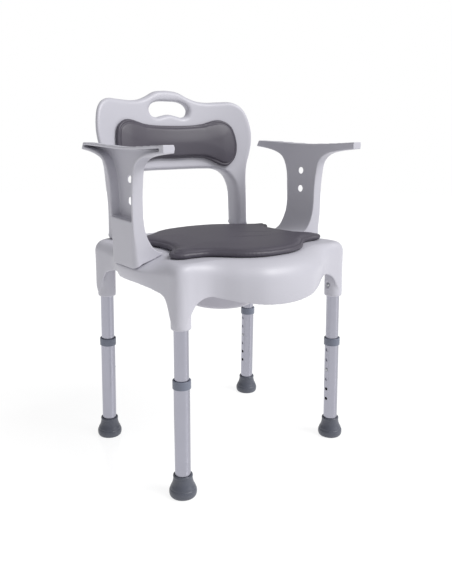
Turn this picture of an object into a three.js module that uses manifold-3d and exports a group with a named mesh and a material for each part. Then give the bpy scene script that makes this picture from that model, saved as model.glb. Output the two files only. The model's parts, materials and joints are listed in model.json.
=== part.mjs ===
// Shower stool: a moulded commode and shower chair with a padded seat, a padded backrest, two
// lift-off arms, four telescopic legs and a bucket that slides out at the back.
// Millimetres. +Z is up and the sitter faces -Y. Left and right in the names are as seen from in
// front of the stool, so right is +X. The feet stand on z = 0.
import * as THREE from 'three';
import { mergeVertices } from 'three/addons/utils/BufferGeometryUtils.js';
import Module from 'manifold-3d';

const wasm = await Module();
wasm.setup();

// ---------------------------------------------------------------- driving dimensions

const GAP = 0.3; // clearance between pieces that touch
const SLIDE_GAP = 0.3; // radial clearance between tubes that slide in each other

// Legs
const LEG_IN_X = 38.2; // leg axis at floor level, inward from the seat's side
const LEG_IN_Y = 60.1; // and inward from half the seat's depth
const SPLAY_X = 0.016; // how far the axis leans in per millimetre of height
const SPLAY_Y = 0.023;
const UPPER_TUBE_D = 29;
const TUBE_WALL = 1.2;
const UPPER_TUBE_BOTTOM = 133;
const UPPER_TUBE_SINK = 32; // how far the leg tubes end below the seat's top
const LOWER_TUBE_BOTTOM = 12.5;
const LOWER_TUBE_TOP = 244;
const COLLAR_LIP = 3.5; // inward lip of the collar above the lower tube
const COLLAR_WALL = 2;
const COLLAR_H = 17;
const HOLE_PITCH = 24.6;
const HOLE_DROP = 24.5; // first hole, below the top of the lower tube
const HOLE_COUNT = 6;
const BUTTON_HOLE = 2; // index of the hole that the button stands in
const BUTTON_D = 7;
const BUTTON_PROUD = 2.4; // dome height above the lower tube
const BUTTON_CLEAR = 0.4; // radial clearance of the button in its holes
const BUTTON_HEAD_D = 11;
const BUTTON_HEAD_T = 1.4;
const SPRING_T = 0.8;
const SPRING_W = 8;
const SPRING_H = 46;
const FOOT_WALL = 2.7; // rubber round the tube at the foot's neck
const FOOT_FLARE = 9.5; // from the neck out to the widest part
const FOOT_H = 46;
const SLEEVE_WALL = 5; // wall of the seat's sleeves around the leg tubes
const SLEEVE_DROP = 126; // lower end of a sleeve, below the seat's top
const SLEEVE_CHAMFER = 2;
const SLEEVE_CAP = 14; // closed end of a sleeve above its tube
const LEG_SCREW_DROP = 99; // leg screw, below the seat's top
const SCREW_D = 4.5;
const SCREW_HEAD_D = 9;
const SCREW_HEAD_T = 2.6;
const SCREW_CLEAR = 0.3;
const SCREW_SUNK = 2.8; // depth of the recess under the screw head

// Seat shell
const SEAT_TOP = 476;
const SEAT_W = 506; // over the bulges at the sides
const SEAT_D = 443; // from the front bulge to the rear edge
const SHELL_WALL = 4;
const HOLE_RX = 98; // opening over the bucket
const HOLE_RY = 112;
const HOLE_Y = 0;

// Pads
const SEAT_PAD_T = 17;
const BOARD_T = 4;
const BOARD_EDGE = 25; // how far the seat board lies inside the pad's waist and ends
const BOARD_Y = -26;
const BACK_BOARD_INSET = 11; // how far the backrest board lies inside its pad
const BACK_PAD_T = 14;

// Backrest. Its heights are above the seat's top.
const BACK_CENTRE_Y = 206; // front face at the middle of the panel, at BACK_REF_Z
const BACK_REF_Z = 294;
const BACK_WRAP = 27.5; // how far the uprights stand ahead of the middle
const BACK_RECLINE = 0.2; // slope of the panel above BACK_BEND_Z
const BACK_BEND_Z = 124;
const BACK_BEND_H = 70; // height over which the slope fades out down to the uprights
const BACK_T = 24; // panel thickness in the middle
const WING_T = 15; // panel thickness at its side edges
const UPRIGHT_T = 48; // depth of the uprights where they stand on the seat
const TONGUE_IN = 89; // inner face of the backrest's tongue, inward from the seat's side
const TONGUE_W = 20;
const TONGUE_Y = 144;
const TONGUE_T = 26;
const TONGUE_H = 55;
const POCKET_WALL = 3.5;
const FIT_GAP = 0.4; // clearance around a tongue in its pocket

// Arms. Their x is from the seat's side and their heights are above the seat's top.
const ARM_T = 24;
const ARM_PLATE_IN = -34;
const ARM_PLATE_OUT = 2.5;
const ARM_PLATE_T = 14;
const ARM_MID_Y = -13; // middle of the upright
const ARM_W = 94;
const ARM_TOP_Z = 216;
const ARM_SAG = 7; // how much the middle of the arm rest lies below its ends
const ARM_TOE = 4; // how far the arm's foot spreads to the front and back
const ARM_WEB = 3;
const ARM_REST_T = 5; // skin of the arm rest above the hollow
const ARM_LEDGE_Z = 70; // top of the thick foot of the arm
const ARM_HOLE_D = 15.2;
const ARM_HOLE_Z = [105, 147.5];
const ARM_TONGUE_W = 62;
const ARM_TONGUE_T = 14;
const ARM_TONGUE_OUT = -13; // outer face of the tongue
const ARM_TONGUE_BOTTOM = -48;

// Bucket and its rails
const BUCKET_H = 92; // below its rim
const BUCKET_R_BOTTOM = 66;
const BUCKET_R_TOP = 106;
const BUCKET_RIM_DROP = 48; // underside of the rim, below the seat's top
const BUCKET_RIM_T = 3;
const BUCKET_LIP_X = 15; // how far the rim reaches past the cup
const BUCKET_LIP_Y = 10;
const BUCKET_WALL = 2.5;
const RAIL_CLEAR = 3; // between a rail's ledge and the cup
const RAIL_T = 3.5;
const RAIL_LENGTH = 270;
const RAIL_SCREW_D = 3;
const RAIL_SCREW_H = 6; // shank below the head

// ---------------------------------------------------------------- shape helpers

const ROUND = 20; // facets round a tube or other turned piece
const HOLE_SIDES = 8;

// A solid that can be cut and joined, from a closed geometry.
function solid(geometry) {
  const bare = geometry.clone();
  bare.deleteAttribute('normal');
  bare.deleteAttribute('uv');
  const merged = mergeVertices(bare, 1e-4);
  return new wasm.Manifold(new wasm.Mesh({
    numProp: 3,
    vertProperties: new Float32Array(merged.attributes.position.array),
    triVerts: new Uint32Array(merged.index.array),
  }));
}

// Back from a solid to a geometry with flat shaded faces.
function geometryOf(body) {
  const mesh = body.getMesh();
  const geometry = new THREE.BufferGeometry();
  geometry.setAttribute('position', new THREE.BufferAttribute(mesh.vertProperties, 3));
  geometry.setIndex(new THREE.BufferAttribute(mesh.triVerts, 1));
  geometry.computeVertexNormals();
  return geometry;
}

// A profile of [radius, height] pairs turned about Z.
function turned(profile, segments = ROUND) {
  const points = profile.map(([radius, height]) => new THREE.Vector2(radius, height));
  return new THREE.LatheGeometry(points, segments).rotateX(Math.PI / 2);
}

function tube(outer, wall, bottom, top, segments = ROUND) {
  const inner = outer - wall;
  return turned([[outer, bottom], [outer, top], [inner, top], [inner, bottom], [outer, bottom]],
    segments);
}

function rod(radius, bottom, top, segments = ROUND) {
  return turned([[0, bottom], [radius, bottom], [radius, top], [0, top]], segments);
}

// A rod that lies along X, from one x to another.
function crossRod(radius, from, to, z, y = 0) {
  return rod(radius, from, to, HOLE_SIDES).rotateY(Math.PI / 2).translate(0, y, z);
}

// A cutter along X whose flats, not its corners, stand at the radius.
function drill(radius, from, to, z, y = 0) {
  return crossRod(radius / Math.cos(Math.PI / HOLE_SIDES), from, to, z, y);
}

function block(lo, hi) {
  return new THREE.BoxGeometry(hi[0] - lo[0], hi[1] - lo[1], hi[2] - lo[2])
    .translate((lo[0] + hi[0]) / 2, (lo[1] + hi[1]) / 2, (lo[2] + hi[2]) / 2);
}

function shapeOf(points) {
  return new THREE.Shape(points.map(([u, v]) => new THREE.Vector2(u, v)));
}

// An outline in X and Z, drawn through from one y to another.
function alongY(shape, from, to, curveSegments = 8) {
  return new THREE.ExtrudeGeometry(shape, { depth: to - from, bevelEnabled: false, curveSegments })
    .rotateX(Math.PI / 2).translate(0, to, 0);
}

// An outline in Y and Z, drawn through from one x to another.
function alongX(shape, from, to, curveSegments = 8) {
  return new THREE.ExtrudeGeometry(shape, { depth: to - from, bevelEnabled: false, curveSegments })
    .rotateX(Math.PI / 2).rotateZ(Math.PI / 2).translate(from, 0, 0);
}

// An outline in X and Y, drawn through from one height to another.
function alongZ(shape, from, to, curveSegments = 8) {
  return new THREE.ExtrudeGeometry(shape, { depth: to - from, bevelEnabled: false, curveSegments })
    .translate(0, 0, from);
}

// A smooth line through [u, v] points.
function smooth(points, steps, closed = false) {
  const curve = new THREE.CatmullRomCurve3(
    points.map(([u, v]) => new THREE.Vector3(u, v, 0)), closed, 'centripetal');
  return curve.getPoints(steps).map((p) => [p.x, p.y]);
}

// Half of a mirrored outline from x = 0 to x = 0, completed on the other side.
function mirrored(half) {
  const other = half.slice(1, -1).reverse().map(([x, ...rest]) => [-x, ...rest]);
  return [...half, ...other];
}

// A closed outline without its repeated last point.
function ringOf(half, steps) {
  return smooth(mirrored(half), steps, true).slice(0, -1);
}

// A closed surface of points, round in both directions.
function ringSurface(columns) {
  const rows = columns[0].length;
  const position = columns.flat(2);
  const index = [];
  columns.forEach((_, i) => {
    const next = (i + 1) % columns.length;
    for (let j = 0; j < rows; j += 1) {
      const up = (j + 1) % rows;
      const [a, b, c, d] = [i * rows + j, next * rows + j, next * rows + up, i * rows + up];
      index.push(a, c, b, a, d, c);
    }
  });
  const geometry = new THREE.BufferGeometry();
  geometry.setAttribute('position', new THREE.BufferAttribute(new Float32Array(position), 3));
  geometry.setIndex(index);
  return geometry;
}

// A solid between two height-field faces over a grid: front(x, z) and back(x, z) give y.
function curvedSlab(xs, zs, front, back) {
  const faces = [front, back];
  const position = [];
  faces.forEach((face) => zs.forEach((z) => xs.forEach((x) => position.push(x, face(x, z), z))));
  const wide = xs.length;
  const tall = zs.length;
  const at = (face, i, j) => (face * tall + j) * wide + i;
  const index = [];
  const quad = (a, b, c, d) => index.push(a, b, c, a, c, d);
  for (let j = 0; j < tall - 1; j += 1) {
    for (let i = 0; i < wide - 1; i += 1) {
      quad(at(0, i, j), at(0, i + 1, j), at(0, i + 1, j + 1), at(0, i, j + 1));
      quad(at(1, i, j), at(1, i, j + 1), at(1, i + 1, j + 1), at(1, i + 1, j));
    }
    quad(at(0, 0, j), at(0, 0, j + 1), at(1, 0, j + 1), at(1, 0, j));
    quad(at(0, wide - 1, j), at(1, wide - 1, j), at(1, wide - 1, j + 1), at(0, wide - 1, j + 1));
  }
  for (let i = 0; i < wide - 1; i += 1) {
    quad(at(0, i, 0), at(1, i, 0), at(1, i + 1, 0), at(0, i + 1, 0));
    quad(at(0, i, tall - 1), at(0, i + 1, tall - 1), at(1, i + 1, tall - 1), at(1, i, tall - 1));
  }
  const geometry = new THREE.BufferGeometry();
  geometry.setAttribute('position', new THREE.BufferAttribute(new Float32Array(position), 3));
  geometry.setIndex(index);
  return geometry;
}

function spaced(from, to, count) {
  return Array.from({ length: count + 1 }, (_, i) => from + ((to - from) * i) / count);
}

// The outlines below are drawn for a seat of this width and depth. For another one their middle
// parts stretch, and what lies further out moves along as it is.
const DRAWN_W = 506;
const DRAWN_D = 443;
const MIDDLE_X = 160;
const MIDDLE_Y = 120;
const widen = (SEAT_W - DRAWN_W) / 2;
const deepen = (SEAT_D - DRAWN_D) / 2;

function stretchX(x) {
  return x + widen * THREE.MathUtils.clamp(x / MIDDLE_X, -1, 1);
}

function stretchY(y) {
  return y + deepen * THREE.MathUtils.clamp(y / MIDDLE_Y, -1, 1);
}

// ---------------------------------------------------------------- materials

const finishes = {
  shell: { color: '#c9c8cf', roughness: 0.42, metalness: 0 },
  tube: { color: '#c4c6ca', roughness: 0.35, metalness: 1 },
  steel: { color: '#b9bcc0', roughness: 0.3, metalness: 1 },
  rubber: { color: '#666a73', roughness: 0.7, metalness: 0 },
  pad: { color: '#5b5860', roughness: 0.5, metalness: 0 },
  board: { color: '#3b3a3f', roughness: 0.8, metalness: 0 },
  bucket: { color: '#a5a3ad', roughness: 0.4, metalness: 0 },
};

const stool = new THREE.Group();

function piece(name, finish, geometry, parent = stool) {
  const mesh = new THREE.Mesh(geometry, new THREE.MeshStandardMaterial(finishes[finish]));
  mesh.name = name;
  parent.add(mesh);
  return mesh;
}

// ---------------------------------------------------------------- legs

const corners = [
  { name: 'front_left', sx: -1, sy: -1 },
  { name: 'front_right', sx: 1, sy: -1 },
  { name: 'rear_left', sx: -1, sy: 1 },
  { name: 'rear_right', sx: 1, sy: 1 },
];

// The place of a leg: its own Z runs up the leaning axis, and its own +X points to the middle.
function legPlace({ sx, sy }) {
  const up = new THREE.Vector3(-SPLAY_X * sx, -SPLAY_Y * sy, 1).normalize();
  const inward = new THREE.Vector3(-sx, 0, 0);
  const side = new THREE.Vector3().crossVectors(up, inward).normalize();
  inward.crossVectors(side, up);
  return new THREE.Matrix4().makeBasis(inward, side, up)
    .setPosition((SEAT_W / 2 - LEG_IN_X) * sx, (SEAT_D / 2 - LEG_IN_Y) * sy, 0);
}

const upperR = UPPER_TUBE_D / 2;
const lowerInnerR = upperR + SLIDE_GAP;
const lowerR = lowerInnerR + TUBE_WALL;
const sleeveInnerR = upperR + SLIDE_GAP;
const sleeveR = sleeveInnerR + SLEEVE_WALL;
const upperTubeTop = SEAT_TOP - UPPER_TUBE_SINK;
const sleeveBottom = SEAT_TOP - SLEEVE_DROP;
const legScrewZ = SEAT_TOP - LEG_SCREW_DROP;
const holeTop = LOWER_TUBE_TOP - HOLE_DROP;
const buttonZ = holeTop - BUTTON_HOLE * HOLE_PITCH;
const holeR = BUTTON_D / 2 + BUTTON_CLEAR;
const screwHoleR = SCREW_D / 2 + SCREW_CLEAR;

function upperTube() {
  return solid(tube(upperR, TUBE_WALL, UPPER_TUBE_BOTTOM, upperTubeTop))
    .subtract(solid(drill(holeR, 0, upperR + 2, buttonZ)))
    .subtract(solid(drill(screwHoleR, 0, upperR + 2, legScrewZ)));
}

function lowerTube() {
  let body = solid(tube(lowerR, TUBE_WALL, LOWER_TUBE_BOTTOM, LOWER_TUBE_TOP));
  for (let i = 0; i < HOLE_COUNT; i += 1) {
    const z = holeTop - i * HOLE_PITCH;
    body = body.subtract(solid(drill(holeR, 0, lowerR + 2, z)));
  }
  return body;
}

// Cap that closes the slit between the two tubes.
function collar() {
  const top = LOWER_TUBE_TOP + GAP + COLLAR_LIP;
  const bottom = top - COLLAR_H;
  const outer = lowerR + GAP + COLLAR_WALL;
  return turned([
    [outer - 0.8, bottom], [outer, bottom + 0.8], [outer, top - 1.2], [outer - 1.2, top],
    [upperR + GAP, top], [upperR + GAP, top - COLLAR_LIP], [lowerR + GAP, top - COLLAR_LIP],
    [lowerR + GAP, bottom], [outer - 0.8, bottom],
  ]);
}

// Bell-shaped rubber ferrule. It is made a little long and cut level by the floor.
function foot(place) {
  const top = lowerR + GAP + FOOT_WALL;
  const wide = top + FOOT_FLARE;
  const sink = 1.5;
  const profile = [
    [0, -sink], [wide - 4, -sink], [wide, 10], [wide - 0.8, 15], [wide - 3, 19.5],
    [top + 4, 25], [top, FOOT_H - 1], [top - 1, FOOT_H], [lowerR + GAP, FOOT_H],
    [lowerR + GAP, LOWER_TUBE_BOTTOM - GAP], [0, LOWER_TUBE_BOTTOM - GAP],
  ];
  const beyond = 2 * wide;
  const floor = block([-beyond, -beyond, -beyond], [beyond, beyond, 0])
    .translate(place.elements[12], place.elements[13], 0)
    .applyMatrix4(place.clone().invert());
  return solid(turned(profile)).subtract(solid(floor));
}

// How far from the leg axis something of a given width touches the inside of the upper tube.
function insideTube(width) {
  const inner = (upperR - TUBE_WALL) * Math.cos(Math.PI / ROUND);
  return Math.sqrt(inner * inner - (width * width) / 4) - GAP;
}

// Domed push button with the washer that keeps it inside the upper tube.
function button() {
  const r = BUTTON_D / 2;
  const tip = lowerR + BUTTON_PROUD;
  const head = insideTube(BUTTON_HEAD_D);
  return turned([
    [0, head - BUTTON_HEAD_T], [BUTTON_HEAD_D / 2, head - BUTTON_HEAD_T], [BUTTON_HEAD_D / 2, head],
    [r, head], [r, tip - 2], [r * 0.87, tip - 1], [r * 0.5, tip - 0.27], [0, tip],
  ], 10).rotateY(Math.PI / 2).translate(0, 0, buttonZ);
}

// Bent spring strip: one leaf behind the button, the other against the far wall of the tube.
function buttonSpring() {
  const near = insideTube(BUTTON_HEAD_D) - BUTTON_HEAD_T - GAP;
  const far = -insideTube(SPRING_W);
  const bottom = buttonZ - BUTTON_HEAD_D / 2;
  const bend = buttonZ + SPRING_H - 12;
  const middle = (near + far) / 2;
  const outline = (inset) => smooth([
    [near - inset, bottom], [near - inset, buttonZ + 8], [near - 3 - inset, bend - 8],
    [middle, bend - inset], [far + 1 + inset, bend - 12], [far + inset, buttonZ],
    [far + inset, bottom],
  ], 14);
  const strip = [...outline(0), ...outline(SPRING_T).reverse()];
  return alongY(shapeOf(strip), -SPRING_W / 2, SPRING_W / 2);
}

function legScrew() {
  const headAt = sleeveR - SCREW_SUNK;
  const r = SCREW_D / 2;
  const rim = SCREW_HEAD_D / 2;
  return turned([
    [0, headAt - 10], [r - 0.8, headAt - 10], [r, headAt - 8.5], [r, headAt],
    [rim, headAt], [rim, headAt + 0.9], [rim - 1.6, headAt + SCREW_HEAD_T],
    [1.4, headAt + SCREW_HEAD_T], [1.4, headAt + 1.1], [0, headAt + 1.1],
  ], 8).rotateY(Math.PI / 2).translate(0, 0, legScrewZ);
}

corners.forEach((corner) => {
  const place = legPlace(corner);
  const leg = new THREE.Group();
  leg.applyMatrix4(place);
  stool.add(leg);
  piece(`upper_tube_${corner.name}`, 'tube', geometryOf(upperTube()), leg);
  piece(`lower_tube_${corner.name}`, 'tube', geometryOf(lowerTube()), leg);
  piece(`collar_${corner.name}`, 'rubber', collar(), leg);
  piece(`foot_${corner.name}`, 'rubber', geometryOf(foot(place)), leg);
  piece(`height_button_${corner.name}`, 'steel', button(), leg);
  piece(`button_spring_${corner.name}`, 'steel', buttonSpring(), leg);
  piece(`leg_screw_${corner.name}`, 'steel', legScrew(), leg);
});

// ---------------------------------------------------------------- seat shell

// Stations round half of the rim, from the middle of the front to the middle of the back:
// [x, y, width and drop of the rounded shoulder, depth of the lower edge below the seat's top,
// tuck of that edge, share of the drop that is an even slope].
const rimHalf = [
  [0, -243, 46, 40, 90, 7, 4],
  [58, -236, 46, 40, 87, 7, 4],
  [103, -214, 42, 38, 80, 6, 3],
  [137, -189, 34, 32, 72, 4, 2],
  [160, -177, 28, 28, 67, 2, 0],
  [186, -172.5, 24, 25, 78, 0, 0],
  [209, -171, 22, 24, 114, -2.6, 0],
  [222.5, -164.6, 22, 24, 116, -2.6, 0],
  [227.7, -151, 24, 24, 114, -2.6, 0],
  [229, -128, 28, 25, 69, 0, 1],
  [235, -98, 46, 26, 59, 2, 6],
  [246, -68, 64, 26, 54, 6, 13],
  [252, -38, 66, 25, 52, 8, 14],
  [253, -8, 66, 25, 52, 8, 14],
  [250, 22, 64, 25, 52, 8, 13],
  [240, 46, 50, 26, 52, 6, 8],
  [230, 68, 34, 26, 52, 4, 3],
  [225, 94, 26, 26, 56, 1, 0],
  [226, 126, 22, 24, 69, 0, 0],
  [227.7, 151, 22, 24, 114, -2.6, 0],
  [225, 170, 22, 24, 96, -1, 0],
  [210, 186, 22, 24, 56, 0, 0],
  [180, 194, 22, 22, 38, 0, 0],
  [110, 198, 22, 20, 32, 0, 0],
  [0, 200, 22, 20, 32, 0, 0],
];
const RIM_STEPS = 68;
const SHOULDER_STEPS = 4;
const WALL_STEPS = 3;

// One cut through the shell from the opening out over the shoulder and down the skirt, with its
// heights from the seat's top.
function rimSection([x, y, width, drop, low, tuck, slope], inset) {
  const reach = Math.hypot(x, y - HOLE_Y);
  const [dx, dy] = [x / reach, (y - HOLE_Y) / reach];
  const angle = Math.atan2(dy / HOLE_RY, dx / HOLE_RX);
  const holeAt = Math.hypot(HOLE_RX * Math.cos(angle), HOLE_RY * Math.sin(angle));
  const section = [];
  const add = (distance, z) => section.push([dx * distance, HOLE_Y + dy * distance, z]);
  add(holeAt, -inset);
  add((holeAt + reach - width) / 2, -inset);
  for (let i = 0; i <= SHOULDER_STEPS; i += 1) {
    const turn = ((Math.PI / 2) * i) / SHOULDER_STEPS;
    const across = (width - inset) * Math.sin(turn);
    const round = (drop - inset - slope) * (1 - Math.cos(turn));
    add(reach - width + across, -inset - slope * Math.sin(turn) - round);
  }
  for (let i = 1; i <= WALL_STEPS; i += 1) {
    const part = i / WALL_STEPS;
    add(reach - inset - tuck * part * part, -drop - (low - drop) * part);
  }
  return section;
}

function rimStations(steps) {
  const points = mirrored(rimHalf).map(([x, y, ...rest]) => [stretchX(x), stretchY(y), ...rest]);
  const through = (columns) => new THREE.CatmullRomCurve3(
    points.map((point) => new THREE.Vector3(...columns.map((column) => point[column] ?? 0))),
    true, 'catmullrom', 0.5);
  const [plan, edge, form] = [through([0, 1, 2]), through([3, 4, 5]), through([6])];
  return spaced(0, 1, steps).slice(0, -1)
    .flatMap((t) => [[...plan.getPoint(t), ...edge.getPoint(t), form.getPoint(t).x]]);
}

function shellSkin() {
  const columns = rimStations(RIM_STEPS).map((station) => [
    ...rimSection(station, 0),
    ...rimSection(station, SHELL_WALL).reverse(),
  ]);
  return ringSurface(columns).translate(0, 0, SEAT_TOP);
}

const armBack = ARM_MID_Y + ARM_W / 2;
const armFront = ARM_MID_Y - ARM_W / 2;

// Saddle that an arm stands on: the seat's side in X and Z, the same for both arms.
const saddleLine = [[-67, 1], [-51, -4], [-33, -9.5], [-15, -14.5], [1, -23]];

function armFootprint(rise, grow) {
  const line = smooth(saddleLine, 5).map(([x, z]) => [x, z + rise]);
  const shape = shapeOf([...line, [6, -29 + rise], [6, 44], [-67 - grow, 44], [-67 - grow, 1 + rise]]);
  return alongY(shape, armFront - ARM_TOE - grow, armBack + ARM_TOE + grow);
}

function armTongue(grow, bottom, top) {
  return block(
    [ARM_TONGUE_OUT - ARM_TONGUE_T - grow, ARM_MID_Y - ARM_TONGUE_W / 2 - grow, bottom],
    [ARM_TONGUE_OUT + grow, ARM_MID_Y + ARM_TONGUE_W / 2 + grow, top]);
}

const backTongueX = SEAT_W / 2 - TONGUE_IN;
const backTongueY = TONGUE_Y + deepen;

function backTongue(grow, bottom, top) {
  return block(
    [backTongueX - grow, backTongueY - grow, bottom],
    [backTongueX + TONGUE_W + grow, backTongueY + TONGUE_T + grow, top]);
}

// Where the bucket's rails and their screws sit under the seat.
const bucketRimZ = SEAT_TOP - BUCKET_RIM_DROP;
const bucketRimX = BUCKET_R_TOP + BUCKET_LIP_X;
const railIn = bucketRimX + 1;
const railTop = SEAT_TOP - SHELL_WALL - GAP;
const railScrewX = railIn + RAIL_T + 6.5;
const railScrewY = [HOLE_Y - 95, HOLE_Y + 125];
const railScrewHead = railTop - RAIL_T - GAP;
const railScrewTip = railScrewHead + RAIL_SCREW_H;

function onBothSides(body) {
  return body.add(body.mirror([1, 0, 0]));
}

// From the frame that the arms are drawn in to the stool's own.
function toSide(body) {
  return body.translate([SEAT_W / 2, 0, SEAT_TOP]);
}

function seatShell() {
  let body = solid(shellSkin());
  const armPocketTop = -14;
  const backPocketTop = SEAT_TOP - SHELL_WALL / 2;
  const backTongueBottom = SEAT_TOP - TONGUE_H;
  const wall = FIT_GAP + POCKET_WALL;
  const posts = toSide(solid(armTongue(wall, ARM_TONGUE_BOTTOM - wall, armPocketTop)))
    .add(solid(backTongue(wall, backTongueBottom - wall, backPocketTop)));
  body = body.add(onBothSides(posts));
  corners.forEach((corner) => {
    const sleeve = turned([
      [0, sleeveBottom], [sleeveR - SLEEVE_CHAMFER, sleeveBottom],
      [sleeveR, sleeveBottom + SLEEVE_CHAMFER], [sleeveR, upperTubeTop],
      [sleeveR / 2, upperTubeTop + SLEEVE_CAP], [0, upperTubeTop + SLEEVE_CAP],
    ]);
    body = body.add(solid(sleeve.applyMatrix4(legPlace(corner))));
  });
  corners.forEach((corner) => {
    const place = legPlace(corner);
    const bore = rod(sleeveInnerR, sleeveBottom - 5, upperTubeTop + GAP);
    const screwHole = drill(screwHoleR, 0, sleeveR + 8, legScrewZ);
    const recess = drill(SCREW_HEAD_D / 2 + SCREW_CLEAR, sleeveR - SCREW_SUNK - GAP, sleeveR + 8,
      legScrewZ);
    [bore, screwHole, recess].forEach((cut) => {
      body = body.subtract(solid(cut.applyMatrix4(place)));
    });
  });
  const armCuts = solid(armTongue(FIT_GAP, ARM_TONGUE_BOTTOM - FIT_GAP, 10))
    .add(solid(armFootprint(0, GAP)));
  let cuts = toSide(armCuts)
    .add(solid(backTongue(FIT_GAP, backTongueBottom - FIT_GAP, SEAT_TOP + 10)));
  railScrewY.forEach((y) => {
    const pilot = rod(RAIL_SCREW_D / 2 + SCREW_CLEAR, railTop - 1, railScrewTip + GAP, 10);
    cuts = cuts.add(solid(pilot.translate(railScrewX, y, 0)));
  });
  return body.subtract(onBothSides(cuts));
}

piece('seat_shell', 'shell', geometryOf(seatShell()));

// ---------------------------------------------------------------- arms

// The arm seen from the side, in Y and Z: a T with curved shoulders. Depth under the arm rest
// grows from its tips to the upright.
const ARM_REAR_TIP = 153;
const ARM_FRONT_TIP = -172;

function armTopLine(lower) {
  return smooth([
    [ARM_REAR_TIP, ARM_TOP_Z - 2 - lower], [85, ARM_TOP_Z - 4 - lower],
    [-25, ARM_TOP_Z - ARM_SAG - lower], [-110, ARM_TOP_Z - 4 - lower],
    [ARM_FRONT_TIP, ARM_TOP_Z - lower],
  ], 10);
}

function armSide() {
  const under = smooth([
    [ARM_FRONT_TIP, 201.5], [-116, 194.5], [-92, 188.5], [-76, 179], [-67, 167], [-62, 144],
    [armFront + 1, 114], [armFront + 1, 64], [armFront, 24],
    [armFront - 1, 2], [armFront - 3, -14], [armFront - ARM_TOE, -24],
  ], 18);
  const foot = [[armFront - ARM_TOE, -36], [armBack + ARM_TOE, -36]];
  const rear = smooth([
    [armBack + ARM_TOE, -24], [armBack + 3, -14], [armBack + 1, 2],
    [armBack, 24], [armBack - 1, 64], [armBack + 1, 114],
    [armBack + 4, 144], [48, 169], [60, 181], [80, 189], [110, 195], [ARM_REAR_TIP, 199.5],
  ], 18);
  return shapeOf([...armTopLine(0).slice(1), ...under, ...foot, ...rear]);
}

// The arm at positive x.
function arm() {
  const upright = solid(alongX(armSide(), -ARM_T, 0));
  const plate = solid(alongX(
    shapeOf([...armTopLine(0), ...armTopLine(ARM_PLATE_T).reverse()]), ARM_PLATE_IN, ARM_PLATE_OUT));
  const flare = smooth([[-ARM_T + 1, 114], [-ARM_T, 76], [-29, 44], [-41, 20], [-53, 8.5],
    [-64, 4.5]], 9);
  const foot = solid(alongY(
    shapeOf([...flare, [-64, -36], [-2, -36], [-2, 114]]),
    armFront - ARM_TOE, armBack + ARM_TOE));
  const footCut = solid(alongX(armSide(), -100, 20));
  const thickFoot = foot.intersect(footCut);
  const above = solid(armFootprint(GAP, 60));
  const upper = solid(block([-100, -260, 24], [50, 260, 280]));
  let body = upright.add(thickFoot).intersect(above.add(upper)).add(plate);
  body = body.subtract(channel());
  ARM_HOLE_Z.forEach((z) => {
    body = body.subtract(solid(
      rod(ARM_HOLE_D / 2, -ARM_T - 5, 5, 14).rotateY(Math.PI / 2)
        .translate(0, ARM_MID_Y + 1, z)));
  });
  return toSide(body.add(solid(armTongue(0, ARM_TONGUE_BOTTOM, 4))));
}

// Hollow in the outer face: between the flanges, above the thick foot and under the arm rest.
function channel() {
  const front = smooth([
    [armFront + 7, ARM_LEDGE_Z], [armFront + 7, 124], [armFront + 4, 148], [armFront - 1, 170.5],
    [armFront - 12, 184], [armFront - 30, 193.5], [armFront - 55, 200], [armFront - 100, 205],
  ], 18);
  const under = armTopLine(ARM_REST_T).reverse().filter(([y]) => y > -163 && y < 146);
  const rear = smooth([
    [armBack + 109, 204.5], [armBack + 76, 201], [armBack + 44, 195], [armBack + 22, 187],
    [armBack + 9, 174], [armBack - 2, 148], [armBack - 5, 124], [armBack - 6, ARM_LEDGE_Z + 2],
  ], 18);
  return solid(alongX(shapeOf([...front, ...under, ...rear]), -ARM_T + ARM_WEB,
    ARM_PLATE_OUT + 5));
}

const rightArm = arm();
piece('arm_right', 'shell', geometryOf(rightArm));
piece('arm_left', 'shell', geometryOf(rightArm.mirror([1, 0, 0])));

// ---------------------------------------------------------------- backrest

function backLean(z) {
  if (z >= BACK_BEND_Z) {
    return BACK_RECLINE * (z - BACK_REF_Z);
  }
  const below = Math.min(BACK_BEND_Z - z, BACK_BEND_H);
  const fade = below - (below * below) / (2 * BACK_BEND_H);
  return BACK_RECLINE * (BACK_BEND_Z - BACK_REF_Z - fade);
}

const uprightX = backTongueX + TONGUE_W / 2 - 2;

// Heights of the backrest are above the seat's top until it is put in its place.
function backFront(x, z) {
  const wrap = BACK_WRAP * (x / uprightX) ** 2;
  return BACK_CENTRE_Y + deepen - wrap + backLean(z);
}

function backDepth(x, z) {
  const out = Math.abs(x) - widen;
  const panel = BACK_T + (WING_T - BACK_T) * THREE.MathUtils.smoothstep(out, 120, 212);
  return UPRIGHT_T + (panel - UPRIGHT_T) * THREE.MathUtils.smoothstep(z, 104, 214);
}

// The cutters of the backrest and its pad run past both faces, from one y to another.
const cutFrom = 60;
const cutTo = 300 + deepen;

// Outlines in X, from the middle, and Z, above the seat's top.
const backOutline = [
  [0, 329], [30, 326], [57, 314], [80, 306.5], [104, 304], [146, 306], [168, 306.5], [186, 300.5],
  [200, 287], [209, 264], [213, 234], [210, 206], [203, 179], [195, 154], [190, 124], [188, 84],
  [190, FIT_GAP],
];
const windowOutline = [
  [161, FIT_GAP], [159, 54], [157, 96], [152, 114], [144, 127], [130, 138], [108, 144.5],
  [80, 146], [0, 146],
];
const slotOutline = [[0, 304], [28, 303], [46, 297], [55, 285], [50, 272], [36, 267.5], [18, 271],
  [0, 274]];

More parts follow.
